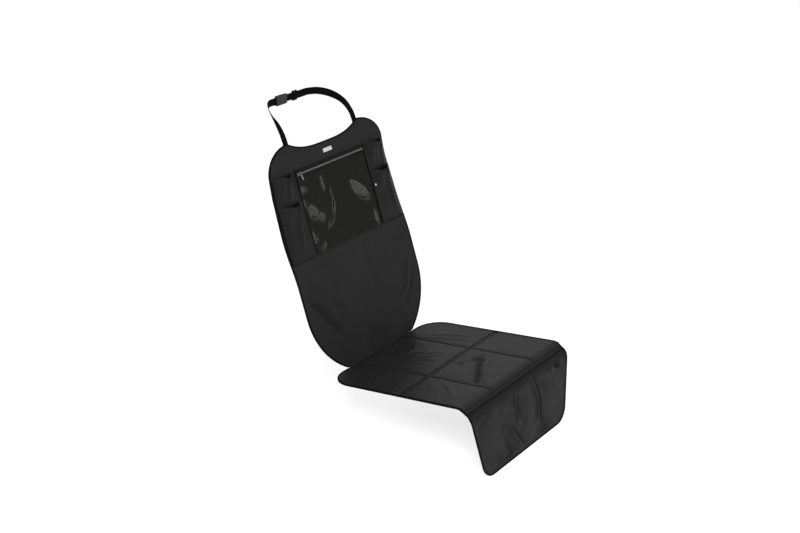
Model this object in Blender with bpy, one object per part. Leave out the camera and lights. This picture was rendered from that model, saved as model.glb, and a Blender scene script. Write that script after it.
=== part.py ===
"""Car seat protector: a sewn back panel with pockets, a seat panel, a front flap and a headrest strap.

Everything is in metres with +Z up and +Y towards the backrest. The row's origin lies under the seat
panel, where it rests on the cushion. Three frames are used: the crease frame stands upright on the
seam between the two panels, the back frame leans with the backrest (x, -n, h), and the seat frame
tilts with the cushion (x, -s, n). Here h is the height up the back panel, s the length of cloth from
the crease towards the front, and n the distance out of the visible face.
"""
import math

import bmesh
import bpy
from mathutils import Matrix, Vector

# Fit of sewn layers and running parts
GAP = 0.0003
FABRIC = 0.0008
LINING = 0.0006
BACK_FOAM = 0.0020
SEAT_FOAM = 0.0030
FOAM_INSET = 0.0040
RUNNING_CLEARANCE = 0.0004

# Seat that carries the cloth
BACK_LEAN = math.radians(18.1)
SEAT_TILT = math.radians(6.9)
CUSHION_RADIUS = 0.045
FLAP_KICK = math.radians(7.5)

# Back panel
BACK_HALF_WIDTH = 0.2450
HIP_HEIGHT = 0.170
HIP_DROP = 0.208
TAPER_START = 0.330
SHOULDER_HALF_WIDTH = 0.2370
SHOULDER_HEIGHT = 0.548
SHOULDER_TOP_X = 0.142
SHOULDER_RISE = 0.073
NECK_HALF_WIDTH = 0.146
NECK_DROP = 0.0265
NECK_POWER = 3.2
WRAP_DEPTH = 0.010
WRAP_WIDTH = 0.026
WRAP_FULL_LOW = 0.400
WRAP_FULL_HIGH = 0.485
WRAP_END_LOW = 0.250
WRAP_END_HIGH = 0.605

# Seat panel and flap, along the cloth
SEAT_HALF_WIDTH = 0.235
REAR_CORNER_RADIUS = 0.065
CUSHION_EDGE = 0.4515
CROSS_SEAM = 0.223
LONG_SEAM_X = 0.102
REAR_FOLD_SEAM = 0.431
FRONT_FOLD_SEAM = 0.443
SEAM_DEPTH = 0.0010
SEAM_HALF_WIDTH = 0.0025
FOLD_SINK = 0.0018
FOLD_SLOPE = 0.006
FLAP_SINK = 0.0012
FLAP_LENGTH = 0.197
FLAP_TAPER_START = 0.460
FLAP_BOTTOM_HALF_WIDTH = 0.195
FLAP_CORNER_RADIUS = 0.036
REST_CENTRE = 0.160

# Edge binding and crease tape
BINDING_COVER = 0.0045
BINDING_WALL = 0.0006
BINDING_START = 0.002
BINDING_EASE = 0.0002
EDGE_PINCH = 0.0002
EDGE_MARGIN = 0.008
CREASE_TAPE_REACH = 0.014
CREASE_TAPE_WALL = 0.0007
CREASE_MARGIN = 0.002

# Clear window and its zip
WINDOW_LEFT = -0.147
WINDOW_RIGHT = 0.141
WINDOW_BOTTOM = 0.321
FILM = 0.0004
FILM_CROWN = 0.0025
PIPING_WIDTH = 0.004
PIPING_THICKNESS = 0.0022
PIPING_OVERRUN = 0.014
ZIP_HEIGHT = 0.537
ZIP_SLOT = 0.0014
TAPE_WIDTH = 0.0125
TAPE_ROOT = 0.005
TAPE_RAISE = 0.0012
TAPE = 0.0005
TOOTH_WIDTH = 0.0023
TOOTH_THICKNESS = 0.0014
STOP_LENGTH = 0.0025
STOP_OVERLAP = 0.0008
STOP_MARGIN = 0.0035
SLIDER_LENGTH = 0.012
SLIDER_PLATE = 0.0010
SLIDER_FLANGE = 0.0010
SLIDER_FOOT = 0.00045
SLIDER_AT_LEFT_STOP = 0.0015
BRIDGE_LENGTH = 0.0096
BRIDGE_BAR = 0.0012
BRIDGE_RISE = 0.0023
KNUCKLE_BORE = 0.00095
KNUCKLE_RADIUS = 0.0017
KNUCKLE_LENGTH = 0.005
PULL_LENGTH = 0.019
PULL_WIDTH = 0.0066
PULL_THICKNESS = 0.0012
PULL_LEAN = math.radians(24)
PULL_DROP = math.radians(15)

# Side pockets
UPPER_MOUTH = 0.548
LOWER_MOUTH = 0.470
POCKET_GAPE = 0.0125
POCKET_GAPE_DEPTH = 0.070
POCKET_BORDER = 0.013
POCKET_OPEN_FULL = 0.22
POCKET_CLOSE_FROM = 0.62
POCKET_CLOSE_END = 0.94
POCKET_EASE = 0.0004

# Small trim on the face
LABEL_WIDTH = 0.0355
LABEL_HEIGHT = 0.0105
LABEL_CENTRE = 0.571
LABEL_THICKNESS = 0.0006
STUD_X = 0.1525
STUD_HEIGHT = 0.429
STUD_RADIUS = 0.0032
STUD_DOME = 0.0014
STUD_PROFILE = ((1, 0), (1, 0.35), (0.75, 0.8), (0.35, 1))

# Headrest strap and its buckle, in the crease frame
WEBBING_WIDTH = 0.020
WEBBING = 0.0012
STRAP_X = 0.144
STRAP_SEWN = 0.026
STRAP_BEND_SET = 0.0087
STRAP_SHARES = ((0.02, 0.12, 0.36), (0.11, 0.33, 0.68), (0.31, 0.60, 0.88), (0.62, 0.85, 0.98))
STRAP_TURNS = (0, 0, 4, 22, 50, 76, 90, 90, 90)
STRAP_STEPS = 3
STRAP_LAP = 0.0015
LOOP_Y = 0.308
LOOP_Z = 0.664
LOOP_CORNER_X = 0.080
LOOP_CORNER_SET = 0.0015
LOOP_CORNER_RUN = 0.022
PASSAGE_EASE = 0.0005
BUCKLE_MATE_X = -0.0240
SOCKET_LENGTH = 0.028
SOCKET_HALF_HEIGHT = 0.0130
SOCKET_HALF_DEPTH = 0.0045
SOCKET_WALL = 0.0027
SOCKET_SLOT_DEPTH = 0.0038
WINDOW_CUT_START = 0.006
WINDOW_CUT_LENGTH = 0.010
PLUG_BASE = 0.014
PLUG_HALF_DEPTH = 0.0035
PLUG_SLOT_DEPTH = 0.0056
PRONG_LENGTH = 0.018
PRONG_ROOT = 0.0045
PRONG_HALF_DEPTH = 0.0024
ARM_WIDTH = 0.0030
GUIDE_HALF_WIDTH = 0.0015
PLUG_TRAVEL = 0.022
SLIDE_LENGTH = 0.018
SLIDE_BAR = 0.003
SLIDE_CENTRE_BAR = 0.005
SLIDE_BACK = 0.0018
RUNNING_END_LENGTH = 0.0907

# Points where outlines are sampled
ARC_STEPS = 8
KNUCKLE_STEPS = 16
STUD_STEPS = 12
NECK_STEPS = 8
CORNER_STEPS = 6
LEVEL_STEP = 0.0002

RIGHT, LEFT = 1, -1
ACROSS = Vector((1, 0, 0))

# Heights that follow the shoulders
BACK_HEIGHT = SHOULDER_HEIGHT + SHOULDER_RISE
NECK_HEIGHT = BACK_HEIGHT - NECK_DROP

# Levels below the visible faces
BACK_THICKNESS = FABRIC + GAP + BACK_FOAM + GAP + LINING
SEAT_THICKNESS = FABRIC + GAP + SEAT_FOAM + GAP + FABRIC
FLAP_THICKNESS = FABRIC + GAP + LINING
CLOTH_LENGTH = FRONT_FOLD_SEAM + FLAP_LENGTH
TURN = math.pi / 2 + SEAT_TILT - FLAP_KICK
BEND_START = CUSHION_EDGE - CUSHION_RADIUS * math.tan(TURN / 2)
BEND_END = BEND_START + CUSHION_RADIUS * TURN


def smooth(value):
    """Ease from 0 to 1, clamped at both ends."""
    value = max(0.0, min(1.0, value))
    return value * value * (3 - 2 * value)


def spread(first, last, steps):
    """Evenly spaced values from first to last, both included."""
    return [first + (last - first) * step / steps for step in range(steps + 1)]


def clear_scene():
    """Remove every object, so that the script can run from an open file."""
    for item in list(bpy.data.objects):
        bpy.data.objects.remove(item, do_unlink=True)


def finish(name, colour, roughness, metallic=0.0, alpha=1.0):
    """Make a Principled material."""
    made = bpy.data.materials.new(name)
    made.use_nodes = True
    shader = made.node_tree.nodes["Principled BSDF"]
    shader.inputs["Base Color"].default_value = (*colour, 1.0)
    shader.inputs["Roughness"].default_value = roughness
    shader.inputs["Metallic"].default_value = metallic
    shader.inputs["Alpha"].default_value = alpha
    return made


def add_part(name, shape, parent, material, place=(0, 0, 0)):
    """Turn a bmesh into a named object, with its faces pointing out."""
    bmesh.ops.remove_doubles(shape, verts=shape.verts, dist=1e-7)
    bmesh.ops.recalc_face_normals(shape, faces=shape.faces)
    mesh = bpy.data.meshes.new(name)
    shape.to_mesh(mesh)
    shape.free()
    part = bpy.data.objects.new(name, mesh)
    bpy.context.collection.objects.link(part)
    part.parent = parent
    part.location = place
    mesh.materials.append(material)
    mesh.shade_smooth()
    mesh.set_sharp_from_angle(angle=math.radians(35))
    return part


def add_frame(name, parent, place=(0, 0, 0), tilt=0.0):
    """Add an empty that carries part of the model, turned about X."""
    frame = bpy.data.objects.new(name, None)
    bpy.context.collection.objects.link(frame)
    frame.parent = parent
    frame.location = place
    frame.rotation_euler = (tilt, 0, 0)
    return frame


def box(low, high):
    """A plain block between two corners."""
    shape = bmesh.new()
    size = [b - a for a, b in zip(low, high)]
    centre = [(a + b) / 2 for a, b in zip(low, high)]
    bmesh.ops.create_cube(shape, size=1, matrix=Matrix.Translation(centre) @ Matrix.Diagonal((*size, 1)))
    return shape


def loft(sections, closed=False):
    """Skin a row of equal loops of points, capped at both ends unless the row closes on itself."""
    shape = bmesh.new()
    loops = [[shape.verts.new(point) for point in section] for section in sections]
    pairs = list(zip(loops, loops[1:] + loops[:1] if closed else loops[1:]))
    for first, second in pairs:
        for index in range(len(first)):
            after = (index + 1) % len(first)
            shape.faces.new((first[index], first[after], second[after], second[index]))
    if not closed:
        shape.faces.new(loops[0])
        shape.faces.new(loops[-1][::-1])
    return shape


def slab(tops, bottoms):
    """A closed sheet between two grids of points, given row by row."""
    shape = bmesh.new()
    upper = [[shape.verts.new(point) for point in row] for row in tops]
    lower = [[shape.verts.new(point) for point in row] for row in bottoms]
    rows, columns = len(upper), len(upper[0])
    for row in range(rows - 1):
        for column in range(columns - 1):
            near, side = (row, column), (row, column + 1)
            far, last = (row + 1, column + 1), (row + 1, column)
            for corners in ((near, side, far), (near, far, last)):
                shape.faces.new([upper[r][c] for r, c in corners])
                shape.faces.new([lower[r][c] for r, c in reversed(corners)])
    rim = [(0, column) for column in range(columns)]
    rim += [(row, columns - 1) for row in range(1, rows)]
    rim += [(rows - 1, column) for column in range(columns - 2, -1, -1)]
    rim += [(row, 0) for row in range(rows - 2, 0, -1)]
    for (r0, c0), (r1, c1) in zip(rim, rim[1:] + rim[:1]):
        shape.faces.new((upper[r0][c0], lower[r0][c0], lower[r1][c1], upper[r1][c1]))
    return shape


def add_cutter(name, shape, part, operation="DIFFERENCE"):
    """Cut a part with a hidden shape, or join the shape to it."""
    tool = add_part(name, shape, part.parent, part.data.materials[0], part.location)
    tool.hide_render = True
    tool.display_type = "WIRE"
    step = part.modifiers.new(name, "BOOLEAN")
    step.operation = operation
    step.solver = "EXACT"
    step.object = tool


def back_half_width(height):
    """Half the width of the back panel at a height, up to its shoulders."""
    if height < HIP_HEIGHT:
        return BACK_HALF_WIDTH * math.sqrt(1 - ((HIP_HEIGHT - height) / HIP_DROP) ** 2)
    taper = smooth((height - TAPER_START) / (SHOULDER_HEIGHT - TAPER_START))
    width = BACK_HALF_WIDTH + (SHOULDER_HALF_WIDTH - BACK_HALF_WIDTH) * taper
    if height <= SHOULDER_HEIGHT:
        return width
    rise = min(1.0, (height - SHOULDER_HEIGHT) / (BACK_HEIGHT - SHOULDER_HEIGHT))
    return SHOULDER_TOP_X + (width - SHOULDER_TOP_X) * math.sqrt(1 - rise * rise)


def side_levels():
    """Heights at which the sides are sampled, shared by all that follows their wrap."""
    levels = spread(WRAP_END_LOW, WINDOW_BOTTOM, 3) + spread(WINDOW_BOTTOM, LOWER_MOUTH, 7)
    levels += spread(LOWER_MOUTH, UPPER_MOUTH, 5) + [SHOULDER_HEIGHT]
    kept = []
    for level in sorted(levels):
        if not kept or level - kept[-1] > LEVEL_STEP:
            kept.append(level)
    return kept


def neck_edge(x):
    """Height of the scooped edge under the headrest."""
    rise = neck_corner_height() - NECK_HEIGHT
    return NECK_HEIGHT + rise * (abs(x) / NECK_HALF_WIDTH) ** NECK_POWER


def neck_corner_height():
    """Height of the shoulder's arc where the neck's edge meets it."""
    run = (NECK_HALF_WIDTH - SHOULDER_TOP_X) / (SHOULDER_HALF_WIDTH - SHOULDER_TOP_X)
    return SHOULDER_HEIGHT + (BACK_HEIGHT - SHOULDER_HEIGHT) * math.sqrt(1 - run * run)


def back_outline():
    """The back panel's edge from the right end of the crease over the top to the left end."""
    start = math.acos(min(1.0, HIP_HEIGHT / HIP_DROP))
    side = []
    for angle in spread(start, math.pi / 2, ARC_STEPS):
        height = HIP_HEIGHT - HIP_DROP * math.cos(angle)
        side.append((BACK_HALF_WIDTH * math.sin(angle), max(0.0, height)))
    side += [(back_half_width(height), height) for height in side_levels() if height > HIP_HEIGHT]
    reach = SHOULDER_HALF_WIDTH - SHOULDER_TOP_X
    last = math.acos((NECK_HALF_WIDTH - SHOULDER_TOP_X) / reach)
    for angle in spread(0, last, ARC_STEPS)[1:]:
        rise = (BACK_HEIGHT - SHOULDER_HEIGHT) * math.sin(angle)
        side.append((SHOULDER_TOP_X + reach * math.cos(angle), SHOULDER_HEIGHT + rise))
    for x in spread(NECK_HALF_WIDTH, 0, NECK_STEPS)[1:]:
        side.append((x, neck_edge(x)))
    return side + [(-x, height) for x, height in reversed(side[:-1])]


def inward(points, closed):
    """Inward mitre directions for an outline that runs anticlockwise."""
    count = len(points)
    result = []
    for index, (x, y) in enumerate(points):
        before = points[index - 1] if closed or index else points[0]
        after = points[(index + 1) % count] if closed or index < count - 1 else points[-1]
        sides = []
        for start, end in ((before, (x, y)), ((x, y), after)):
            run = Vector((end[0] - start[0], end[1] - start[1]))
            if run.length > 0:
                run.normalize()
                sides.append(Vector((-run.y, run.x)))
        mean = sum(sides, Vector((0, 0))).normalized()
        result.append(mean / max(0.5, mean.dot(sides[0])))
    return result


def inset(points, distance):
    """Move a closed outline inwards."""
    return [(x + way.x * distance, y + way.y * distance)
            for (x, y), way in zip(points, inward(points, True))]


def wrap_back(x, height):
    """How far the side edge of the back panel turns back round the seat."""
    full = smooth((height - WRAP_END_LOW) / (WRAP_FULL_LOW - WRAP_END_LOW))
    full *= smooth((WRAP_END_HIGH - height) / (WRAP_END_HIGH - WRAP_FULL_HIGH))
    edge = back_half_width(min(height, WRAP_END_HIGH)) - WRAP_WIDTH
    return WRAP_DEPTH * full * (max(0.0, abs(x) - edge) / WRAP_WIDTH) ** 2


def wrap_steps():
    """Distances in from the edge at which the wrapped sides are sampled."""
    return [BINDING_COVER, WRAP_WIDTH / 2, WRAP_WIDTH]


def on_back(x, height, out):
    """A point in the back frame, a distance out of the visible face."""
    return Vector((x, wrap_back(x, height) - out, height))


def back_layer(edge_inset, top, bottom):
    """One flat layer of the back panel with its sides turned back."""
    outline = back_outline()
    depths = [edge_inset] + [step for step in wrap_steps() if step > edge_inset + LEVEL_STEP]
    rings = [inset(outline, depth) for depth in depths]
    shape = bmesh.new()
    faces = []
    for level in (top, bottom):
        faces.append([[shape.verts.new(on_back(x, height, level)) for x, height in ring] for ring in rings])
    for upper in faces:
        shape.faces.new(upper[-1])
        for outer, inner in zip(upper, upper[1:]):
            skin_between(shape, outer, inner)
    skin_between(shape, faces[0][0], faces[1][0])
    return shape


def skin_between(shape, first, second):
    """Join two closed loops of equal length, all split the same way so that layers stay parallel."""
    for index in range(len(first)):
        after = (index + 1) % len(first)
        shape.faces.new((first[index], first[after], second[after]))
        shape.faces.new((first[index], second[after], second[index]))


def binding_sections(outline, place, top, bottom):
    """Sections of a folded edge tape: two legs over the cloth and a wall outside it."""
    sections = []
    outer = -GAP - BINDING_WALL
    for (x, along), way in zip(outline, inward(outline, False)):
        over, under = top(along) + GAP + BINDING_EASE, bottom(along) - GAP - BINDING_EASE
        steps = [(BINDING_COVER, over), (BINDING_COVER, over + BINDING_WALL), (outer, over + BINDING_WALL),
                 (outer, under - BINDING_WALL), (BINDING_COVER, under - BINDING_WALL),
                 (BINDING_COVER, under), (-GAP, under), (-GAP, over)]
        sections.append([place(x + way.x * w, along + way.y * w, n) for w, n in steps])
    return sections


def lower_half_width(along):
    """Half the width of the seat panel and flap at a length of cloth from the crease."""
    if along < REAR_CORNER_RADIUS:
        rest = REAR_CORNER_RADIUS - along
        return SEAT_HALF_WIDTH - REAR_CORNER_RADIUS + math.sqrt(REAR_CORNER_RADIUS ** 2 - rest ** 2)
    taper = max(0.0, along - FLAP_TAPER_START) / (CLOTH_LENGTH - FLAP_TAPER_START)
    width = SEAT_HALF_WIDTH + (FLAP_BOTTOM_HALF_WIDTH - SEAT_HALF_WIDTH) * taper
    past = along - (CLOTH_LENGTH - FLAP_CORNER_RADIUS)
    if past <= 0:
        return width
    return width - FLAP_CORNER_RADIUS + math.sqrt(max(0.0, FLAP_CORNER_RADIUS ** 2 - past ** 2))


def rear_corner_rows():
    """Lengths at which the rounded rear corners are sampled."""
    return [REAR_CORNER_RADIUS * (1 - math.cos(angle)) for angle in spread(0, math.pi / 2, CORNER_STEPS)]


def flap_corner_rows():
    """Lengths at which the rounded flap corners are sampled."""
    start = CLOTH_LENGTH - FLAP_CORNER_RADIUS
    return [start + FLAP_CORNER_RADIUS * math.sin(angle) for angle in spread(0, math.pi / 2, CORNER_STEPS)]


def seat_rows():
    """Rows of the seat panel, from the crease to the front fold seam."""
    rows = rear_corner_rows()
    rows += [CROSS_SEAM - SEAM_HALF_WIDTH, CROSS_SEAM, CROSS_SEAM + SEAM_HALF_WIDTH]
    return rows + spread(BEND_START, REAR_FOLD_SEAM - FOLD_SLOPE, 2) + [REAR_FOLD_SEAM, FRONT_FOLD_SEAM]


def flap_rows():
    """Rows of the flap, from the front fold seam to its bottom edge."""
    rows = [FRONT_FOLD_SEAM, FRONT_FOLD_SEAM + FOLD_SLOPE]
    rows += spread(FRONT_FOLD_SEAM + FOLD_SLOPE, BEND_END, 3)[1:]
    return rows + [(BEND_END + flap_corner_rows()[0]) / 2] + flap_corner_rows()


def on_seat(x, along, out):
    """A point in the seat frame, following the cloth over the cushion's front edge."""
    if along <= BEND_START:
        return Vector((x, -along, out))
    turn = min(along - BEND_START, BEND_END - BEND_START) / CUSHION_RADIUS
    radius = CUSHION_RADIUS + out
    point = Vector((x, -BEND_START - radius * math.sin(turn), radius * math.cos(turn) - CUSHION_RADIUS))
    hang = max(0.0, along - BEND_END)
    return point + Vector((0, -math.cos(turn), -math.sin(turn))) * hang


def lower_top(along):
    """Level of the visible face along the seat panel, its fold and the flap."""
    sink = FOLD_SINK * smooth((along - REAR_FOLD_SEAM + FOLD_SLOPE) / FOLD_SLOPE)
    return (FOLD_SINK - FLAP_SINK) * smooth((along - FRONT_FOLD_SEAM) / FOLD_SLOPE) - sink


def lower_bottom(along):
    """Level of the under side along the seat panel, its fold and the flap."""
    fold = FOLD_SINK + FABRIC + GAP + FABRIC
    flap = FLAP_SINK + FLAP_THICKNESS
    into_fold = smooth((along - REAR_FOLD_SEAM + FOLD_SLOPE) / FOLD_SLOPE)
    into_flap = smooth((along - FRONT_FOLD_SEAM) / FOLD_SLOPE)
    return -SEAT_THICKNESS - (fold - SEAT_THICKNESS) * into_fold - (flap - fold) * into_flap


def seam_sink(x, along):
    """How far the sewn-through seams pull the seat panel's face down."""
    nearest = min(abs(abs(x) - LONG_SEAM_X), abs(along - CROSS_SEAM))
    end = smooth((REAR_FOLD_SEAM - along) / FOLD_SLOPE)
    return SEAM_DEPTH * end * max(0.0, 1 - nearest / SEAM_HALF_WIDTH)


def edge_pinch(x, along):
    """How far the tapes pinch the seat panel's under side up, beside its edges and at the crease."""
    beside = 1 - (lower_half_width(along) - abs(x)) / EDGE_MARGIN
    behind = 1 - along / (CREASE_TAPE_REACH + CREASE_MARGIN)
    return EDGE_PINCH * max(0.0, beside, behind)


def lower_layer(rows, ends, seams, top, bottom, edge_inset=0.0, margin=0.0):
    """One layer of the seat panel or the flap, between two levels and two ends of the cloth."""
    tops, bottoms = [], []
    placed = [min(max(along, ends[0]), ends[1]) for along in rows]
    for index, along in enumerate(placed):
        if index and along - placed[index - 1] < LEVEL_STEP:
            continue
        reach = lower_half_width(rows[index]) - edge_inset
        columns = [-reach, reach]
        if seams:
            inner, outer = LONG_SEAM_X - SEAM_HALF_WIDTH, LONG_SEAM_X + SEAM_HALF_WIDTH
            columns = [-reach, -outer, -LONG_SEAM_X, -inner, inner, LONG_SEAM_X, outer, reach]
        elif margin:
            columns = [-reach, margin - reach, reach - margin, reach]
        tops.append([on_seat(x, along, top(x, along)) for x in columns])
        bottoms.append([on_seat(x, along, bottom(x, along)) for x in columns])
    return slab(tops, bottoms)


def lower_outline():
    """The edge of the seat panel and flap from the right of the crease round to the left."""
    rows = rear_corner_rows() + spread(BEND_START, REAR_FOLD_SEAM - FOLD_SLOPE, 2)
    rows += [REAR_FOLD_SEAM] + flap_rows()
    start = math.sqrt(1 - (HIP_HEIGHT / HIP_DROP) ** 2) * BACK_HALF_WIDTH + BINDING_COVER
    side = [(start, 0.0)] + [(lower_half_width(along), along) for along in rows]
    loop = side + [(-x, along) for x, along in reversed(side)]
    return [point for point, before in zip(loop, [None] + loop[:-1]) if point != before]


def make_back(frame, cloth, foam, lining, tape):
    """The three layers of the back panel and the tape round its edge."""
    foam_top = -FABRIC - GAP
    lining_top = foam_top - BACK_FOAM - GAP
    add_part("back_panel_face", back_layer(0, 0, -FABRIC), frame, cloth)
    add_part("back_padding", back_layer(FOAM_INSET, foam_top, foam_top - BACK_FOAM), frame, foam)
    add_part("back_lining", back_layer(0, lining_top, lining_top - LINING), frame, lining)
    start = back_half_width(BINDING_START)
    edge = [(start, BINDING_START)] + [point for point in back_outline() if point[1] > 2 * BINDING_START]
    edge.append((-start, BINDING_START))
    sections = binding_sections(edge, on_back, lambda height: 0.0, lambda height: -BACK_THICKNESS)
    add_part("back_binding", loft(sections), frame, tape)


def make_seat(frame, cloth, foam, grip, lining, tape):
    """The seat panel's layers, the flap's two layers and the tape round both."""
    def face_top(x, along):
        return lower_top(along) - seam_sink(x, along)

    def face_under(x, along):
        return face_top(x, along) - FABRIC

    def foam_top(x, along):
        return face_under(x, along) - GAP

    def grip_under(x, along):
        return lower_bottom(along) + edge_pinch(x, along)

    rows, ends = seat_rows(), (GAP, FRONT_FOLD_SEAM - GAP / 2)
    add_part("seat_panel_face", lower_layer(rows, ends, True, face_top, face_under), frame, cloth)
    foam_under = -FABRIC - GAP - SEAT_FOAM
    foam_ends = (FOAM_INSET, REAR_FOLD_SEAM - FOLD_SLOPE)
    padding = lower_layer(rows, foam_ends, True, foam_top, lambda x, along: foam_under, FOAM_INSET)
    add_part("seat_padding", padding, frame, foam)
    backing = lower_layer(rows, ends, False, lambda x, along: lower_bottom(along) + FABRIC, grip_under,
                          margin=EDGE_MARGIN)
    add_part("seat_grip_backing", backing, frame, grip)

    rows, ends = flap_rows(), (FRONT_FOLD_SEAM + GAP / 2, CLOTH_LENGTH)
    add_part("flap_face", lower_layer(rows, ends, False, face_top, face_under), frame, cloth)
    flap_lining = lower_layer(rows, ends, False, lambda x, along: lower_bottom(along) + LINING,
                              lambda x, along: lower_bottom(along))
    add_part("flap_lining", flap_lining, frame, lining)
    sections = binding_sections(lower_outline(), on_seat, lower_top, lower_bottom)
    add_part("seat_binding", loft(sections), frame, tape)


def make_crease_tape(frame, tape):
    """The folded tape behind the crease, sewn to the back of both panels."""
    def behind_back(out, height):
        side = Vector((0, math.cos(BACK_LEAN), -math.sin(BACK_LEAN)))
        return side * out + Vector((0, math.sin(BACK_LEAN), math.cos(BACK_LEAN))) * height

    def under_seat(out, along):
        side = Vector((0, -math.sin(SEAT_TILT), -math.cos(SEAT_TILT)))
        return side * out + Vector((0, -math.cos(SEAT_TILT), math.sin(SEAT_TILT))) * along

    def corner(back, seat):
        """Where the plane behind the back panel meets the plane under the seat panel."""
        lean = Vector((math.cos(BACK_LEAN), -math.sin(BACK_LEAN)))
        tilt = Vector((-math.sin(SEAT_TILT), -math.cos(SEAT_TILT)))
        return Vector((0, *(Matrix((lean, tilt)).inverted() @ Vector((back, seat)))))

    near_back, near_seat = BACK_THICKNESS + GAP, SEAT_THICKNESS + GAP
    far_back, far_seat = near_back + CREASE_TAPE_WALL, near_seat + CREASE_TAPE_WALL
    profile = [behind_back(near_back, CREASE_TAPE_REACH), behind_back(far_back, CREASE_TAPE_REACH),
               corner(far_back, far_seat), under_seat(far_seat, CREASE_TAPE_REACH),
               under_seat(near_seat, CREASE_TAPE_REACH), corner(near_back, near_seat)]
    reach = math.sqrt(1 - (HIP_HEIGHT / HIP_DROP) ** 2) * BACK_HALF_WIDTH - BINDING_COVER
    sections = [[point + ACROSS * x for point in profile] for x in (-reach, reach)]
    add_part("crease_tape", loft(sections), frame, tape)


def along_x(profile, low, high):
    """Extrude a (height, out) outline of the back frame across x."""
    return loft([[Vector((x, -out, height)) for height, out in profile] for x in (low, high)])


def make_zip(frame, tape, teeth, metal):
    """The zip over the window: tapes, rows of teeth, stops, slider and pull."""
    low, high = WINDOW_LEFT + PIPING_WIDTH / 2 + GAP, WINDOW_RIGHT - PIPING_WIDTH / 2 - GAP
    slot = ZIP_SLOT / 2
    tape_top = TAPE_RAISE + TAPE
    tooth_low = tape_top + GAP
    tooth_top = tooth_low + TOOTH_THICKNESS
    outer = slot + TAPE_WIDTH
    root = [(slot, TAPE_RAISE), (slot, tape_top), (outer, tape_top), (outer, GAP),
            (outer - TAPE_ROOT, GAP), (outer - TAPE_ROOT, TAPE_RAISE)]
    for side, name in ((1, "upper"), (-1, "lower")):
        profile = [(ZIP_HEIGHT + side * away, out) for away, out in root]
        add_part("zip_tape_" + name, along_x(profile, low, high), frame, tape)
        rows = sorted((ZIP_HEIGHT + side * slot, ZIP_HEIGHT + side * (slot + TOOTH_WIDTH)))
        first, last = low + STOP_MARGIN + STOP_LENGTH + GAP, high - STOP_MARGIN - STOP_LENGTH - GAP
        bar = box((first, -tooth_top, rows[0]), (last, -tooth_low, rows[1]))
        add_part("zip_teeth_" + name, bar, frame, teeth)

    stop_reach = slot + TOOTH_WIDTH + STOP_OVERLAP
    stops = {"left": low + STOP_MARGIN, "right": high - STOP_MARGIN - STOP_LENGTH}
    for name, x in stops.items():
        stop = box((x, -tooth_top, ZIP_HEIGHT - stop_reach),
                   (x + STOP_LENGTH, -tooth_low, ZIP_HEIGHT + stop_reach))
        add_part("zip_stop_" + name, stop, frame, metal)

    centre = stops["left"] + STOP_LENGTH + SLIDER_AT_LEFT_STOP + SLIDER_LENGTH / 2
    make_slider(frame, metal, centre, tape_top, tooth_top)


def make_slider(frame, metal, centre, tape_top, tooth_top):
    """The slider, which grips both rows from above and below, and its hanging pull."""
    plate_low = tooth_top + GAP
    plate_top = plate_low + SLIDER_PLATE
    neck = ZIP_SLOT / 2 - GAP
    inner = ZIP_SLOT / 2 + TOOTH_WIDTH + RUNNING_CLEARANCE
    outer = inner + SLIDER_FLANGE
    foot_top = TAPE_RAISE - GAP
    skirt = tape_top + RUNNING_CLEARANCE
    half = [(neck, foot_top), (neck, plate_low), (inner, plate_low), (inner, skirt), (outer, skirt),
            (outer, plate_top)]
    profile = [(outer, SLIDER_FOOT), (outer, foot_top)] + half
    profile += [(-away, out) for away, out in reversed(profile)]
    body = along_x(profile, -SLIDER_LENGTH / 2, SLIDER_LENGTH / 2)
    slider = add_part("zip_slider", body, frame, metal, (centre, 0, ZIP_HEIGHT))
    axis = plate_top + BRIDGE_RISE
    bar, reach = BRIDGE_BAR / 2, BRIDGE_LENGTH / 2
    sunk = plate_low + SLIDER_PLATE / 2
    inside = reach - BRIDGE_BAR
    arch = [(-reach, sunk), (-reach, axis + bar), (reach, axis + bar), (reach, sunk),
            (inside, sunk), (inside, axis - bar), (-inside, axis - bar), (-inside, sunk)]
    bridge = loft([[Vector((x, -out, side)) for x, out in arch] for side in (-bar, bar)])
    add_cutter("slider_bridge", bridge, slider, "UNION")
    make_pull(frame, metal, centre, axis)


def make_pull(frame, metal, centre, axis):
    """The pull: a rolled knuckle on the slider's bar and a flat tab that hangs on the window."""
    turns = [2 * math.pi * step / KNUCKLE_STEPS for step in range(KNUCKLE_STEPS)]
    loops = []
    for x, radius in ((-1, KNUCKLE_RADIUS), (1, KNUCKLE_RADIUS), (1, KNUCKLE_BORE), (-1, KNUCKLE_BORE)):
        loops.append([Vector((x * KNUCKLE_LENGTH / 2, radius * math.cos(turn), radius * math.sin(turn)))
                      for turn in turns])
    pull = add_part("zip_pull", loft(loops, closed=True), frame, metal, (centre, -axis, ZIP_HEIGHT))
    pull.rotation_euler = (PULL_DROP, 0, 0)
    shift = math.tan(PULL_LEAN)
    tip_radius = PULL_WIDTH / 2
    start = (KNUCKLE_BORE + KNUCKLE_RADIUS) / 2
    neck = KNUCKLE_LENGTH / 2 - GAP
    outline = [(-neck, -start), (-neck, -KNUCKLE_RADIUS)]
    end = PULL_LENGTH - tip_radius
    for turn in spread(math.pi, 2 * math.pi, 8):
        outline.append((end * shift + tip_radius * math.cos(turn), -end + tip_radius * math.sin(turn)))
    outline += [(neck, -KNUCKLE_RADIUS), (neck, -start)]
    half = PULL_THICKNESS / 2
    tab = loft([[Vector((x, y, z)) for x, z in outline] for y in (-half, half)])
    joined = add_part("pull_tab", tab, frame, metal, pull.location)
    joined.rotation_euler = pull.rotation_euler
    joined.hide_render = True
    joined.display_type = "WIRE"
    step = pull.modifiers.new("tab", "BOOLEAN")
    step.operation = "UNION"
    step.solver = "EXACT"
    step.object = joined


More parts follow.
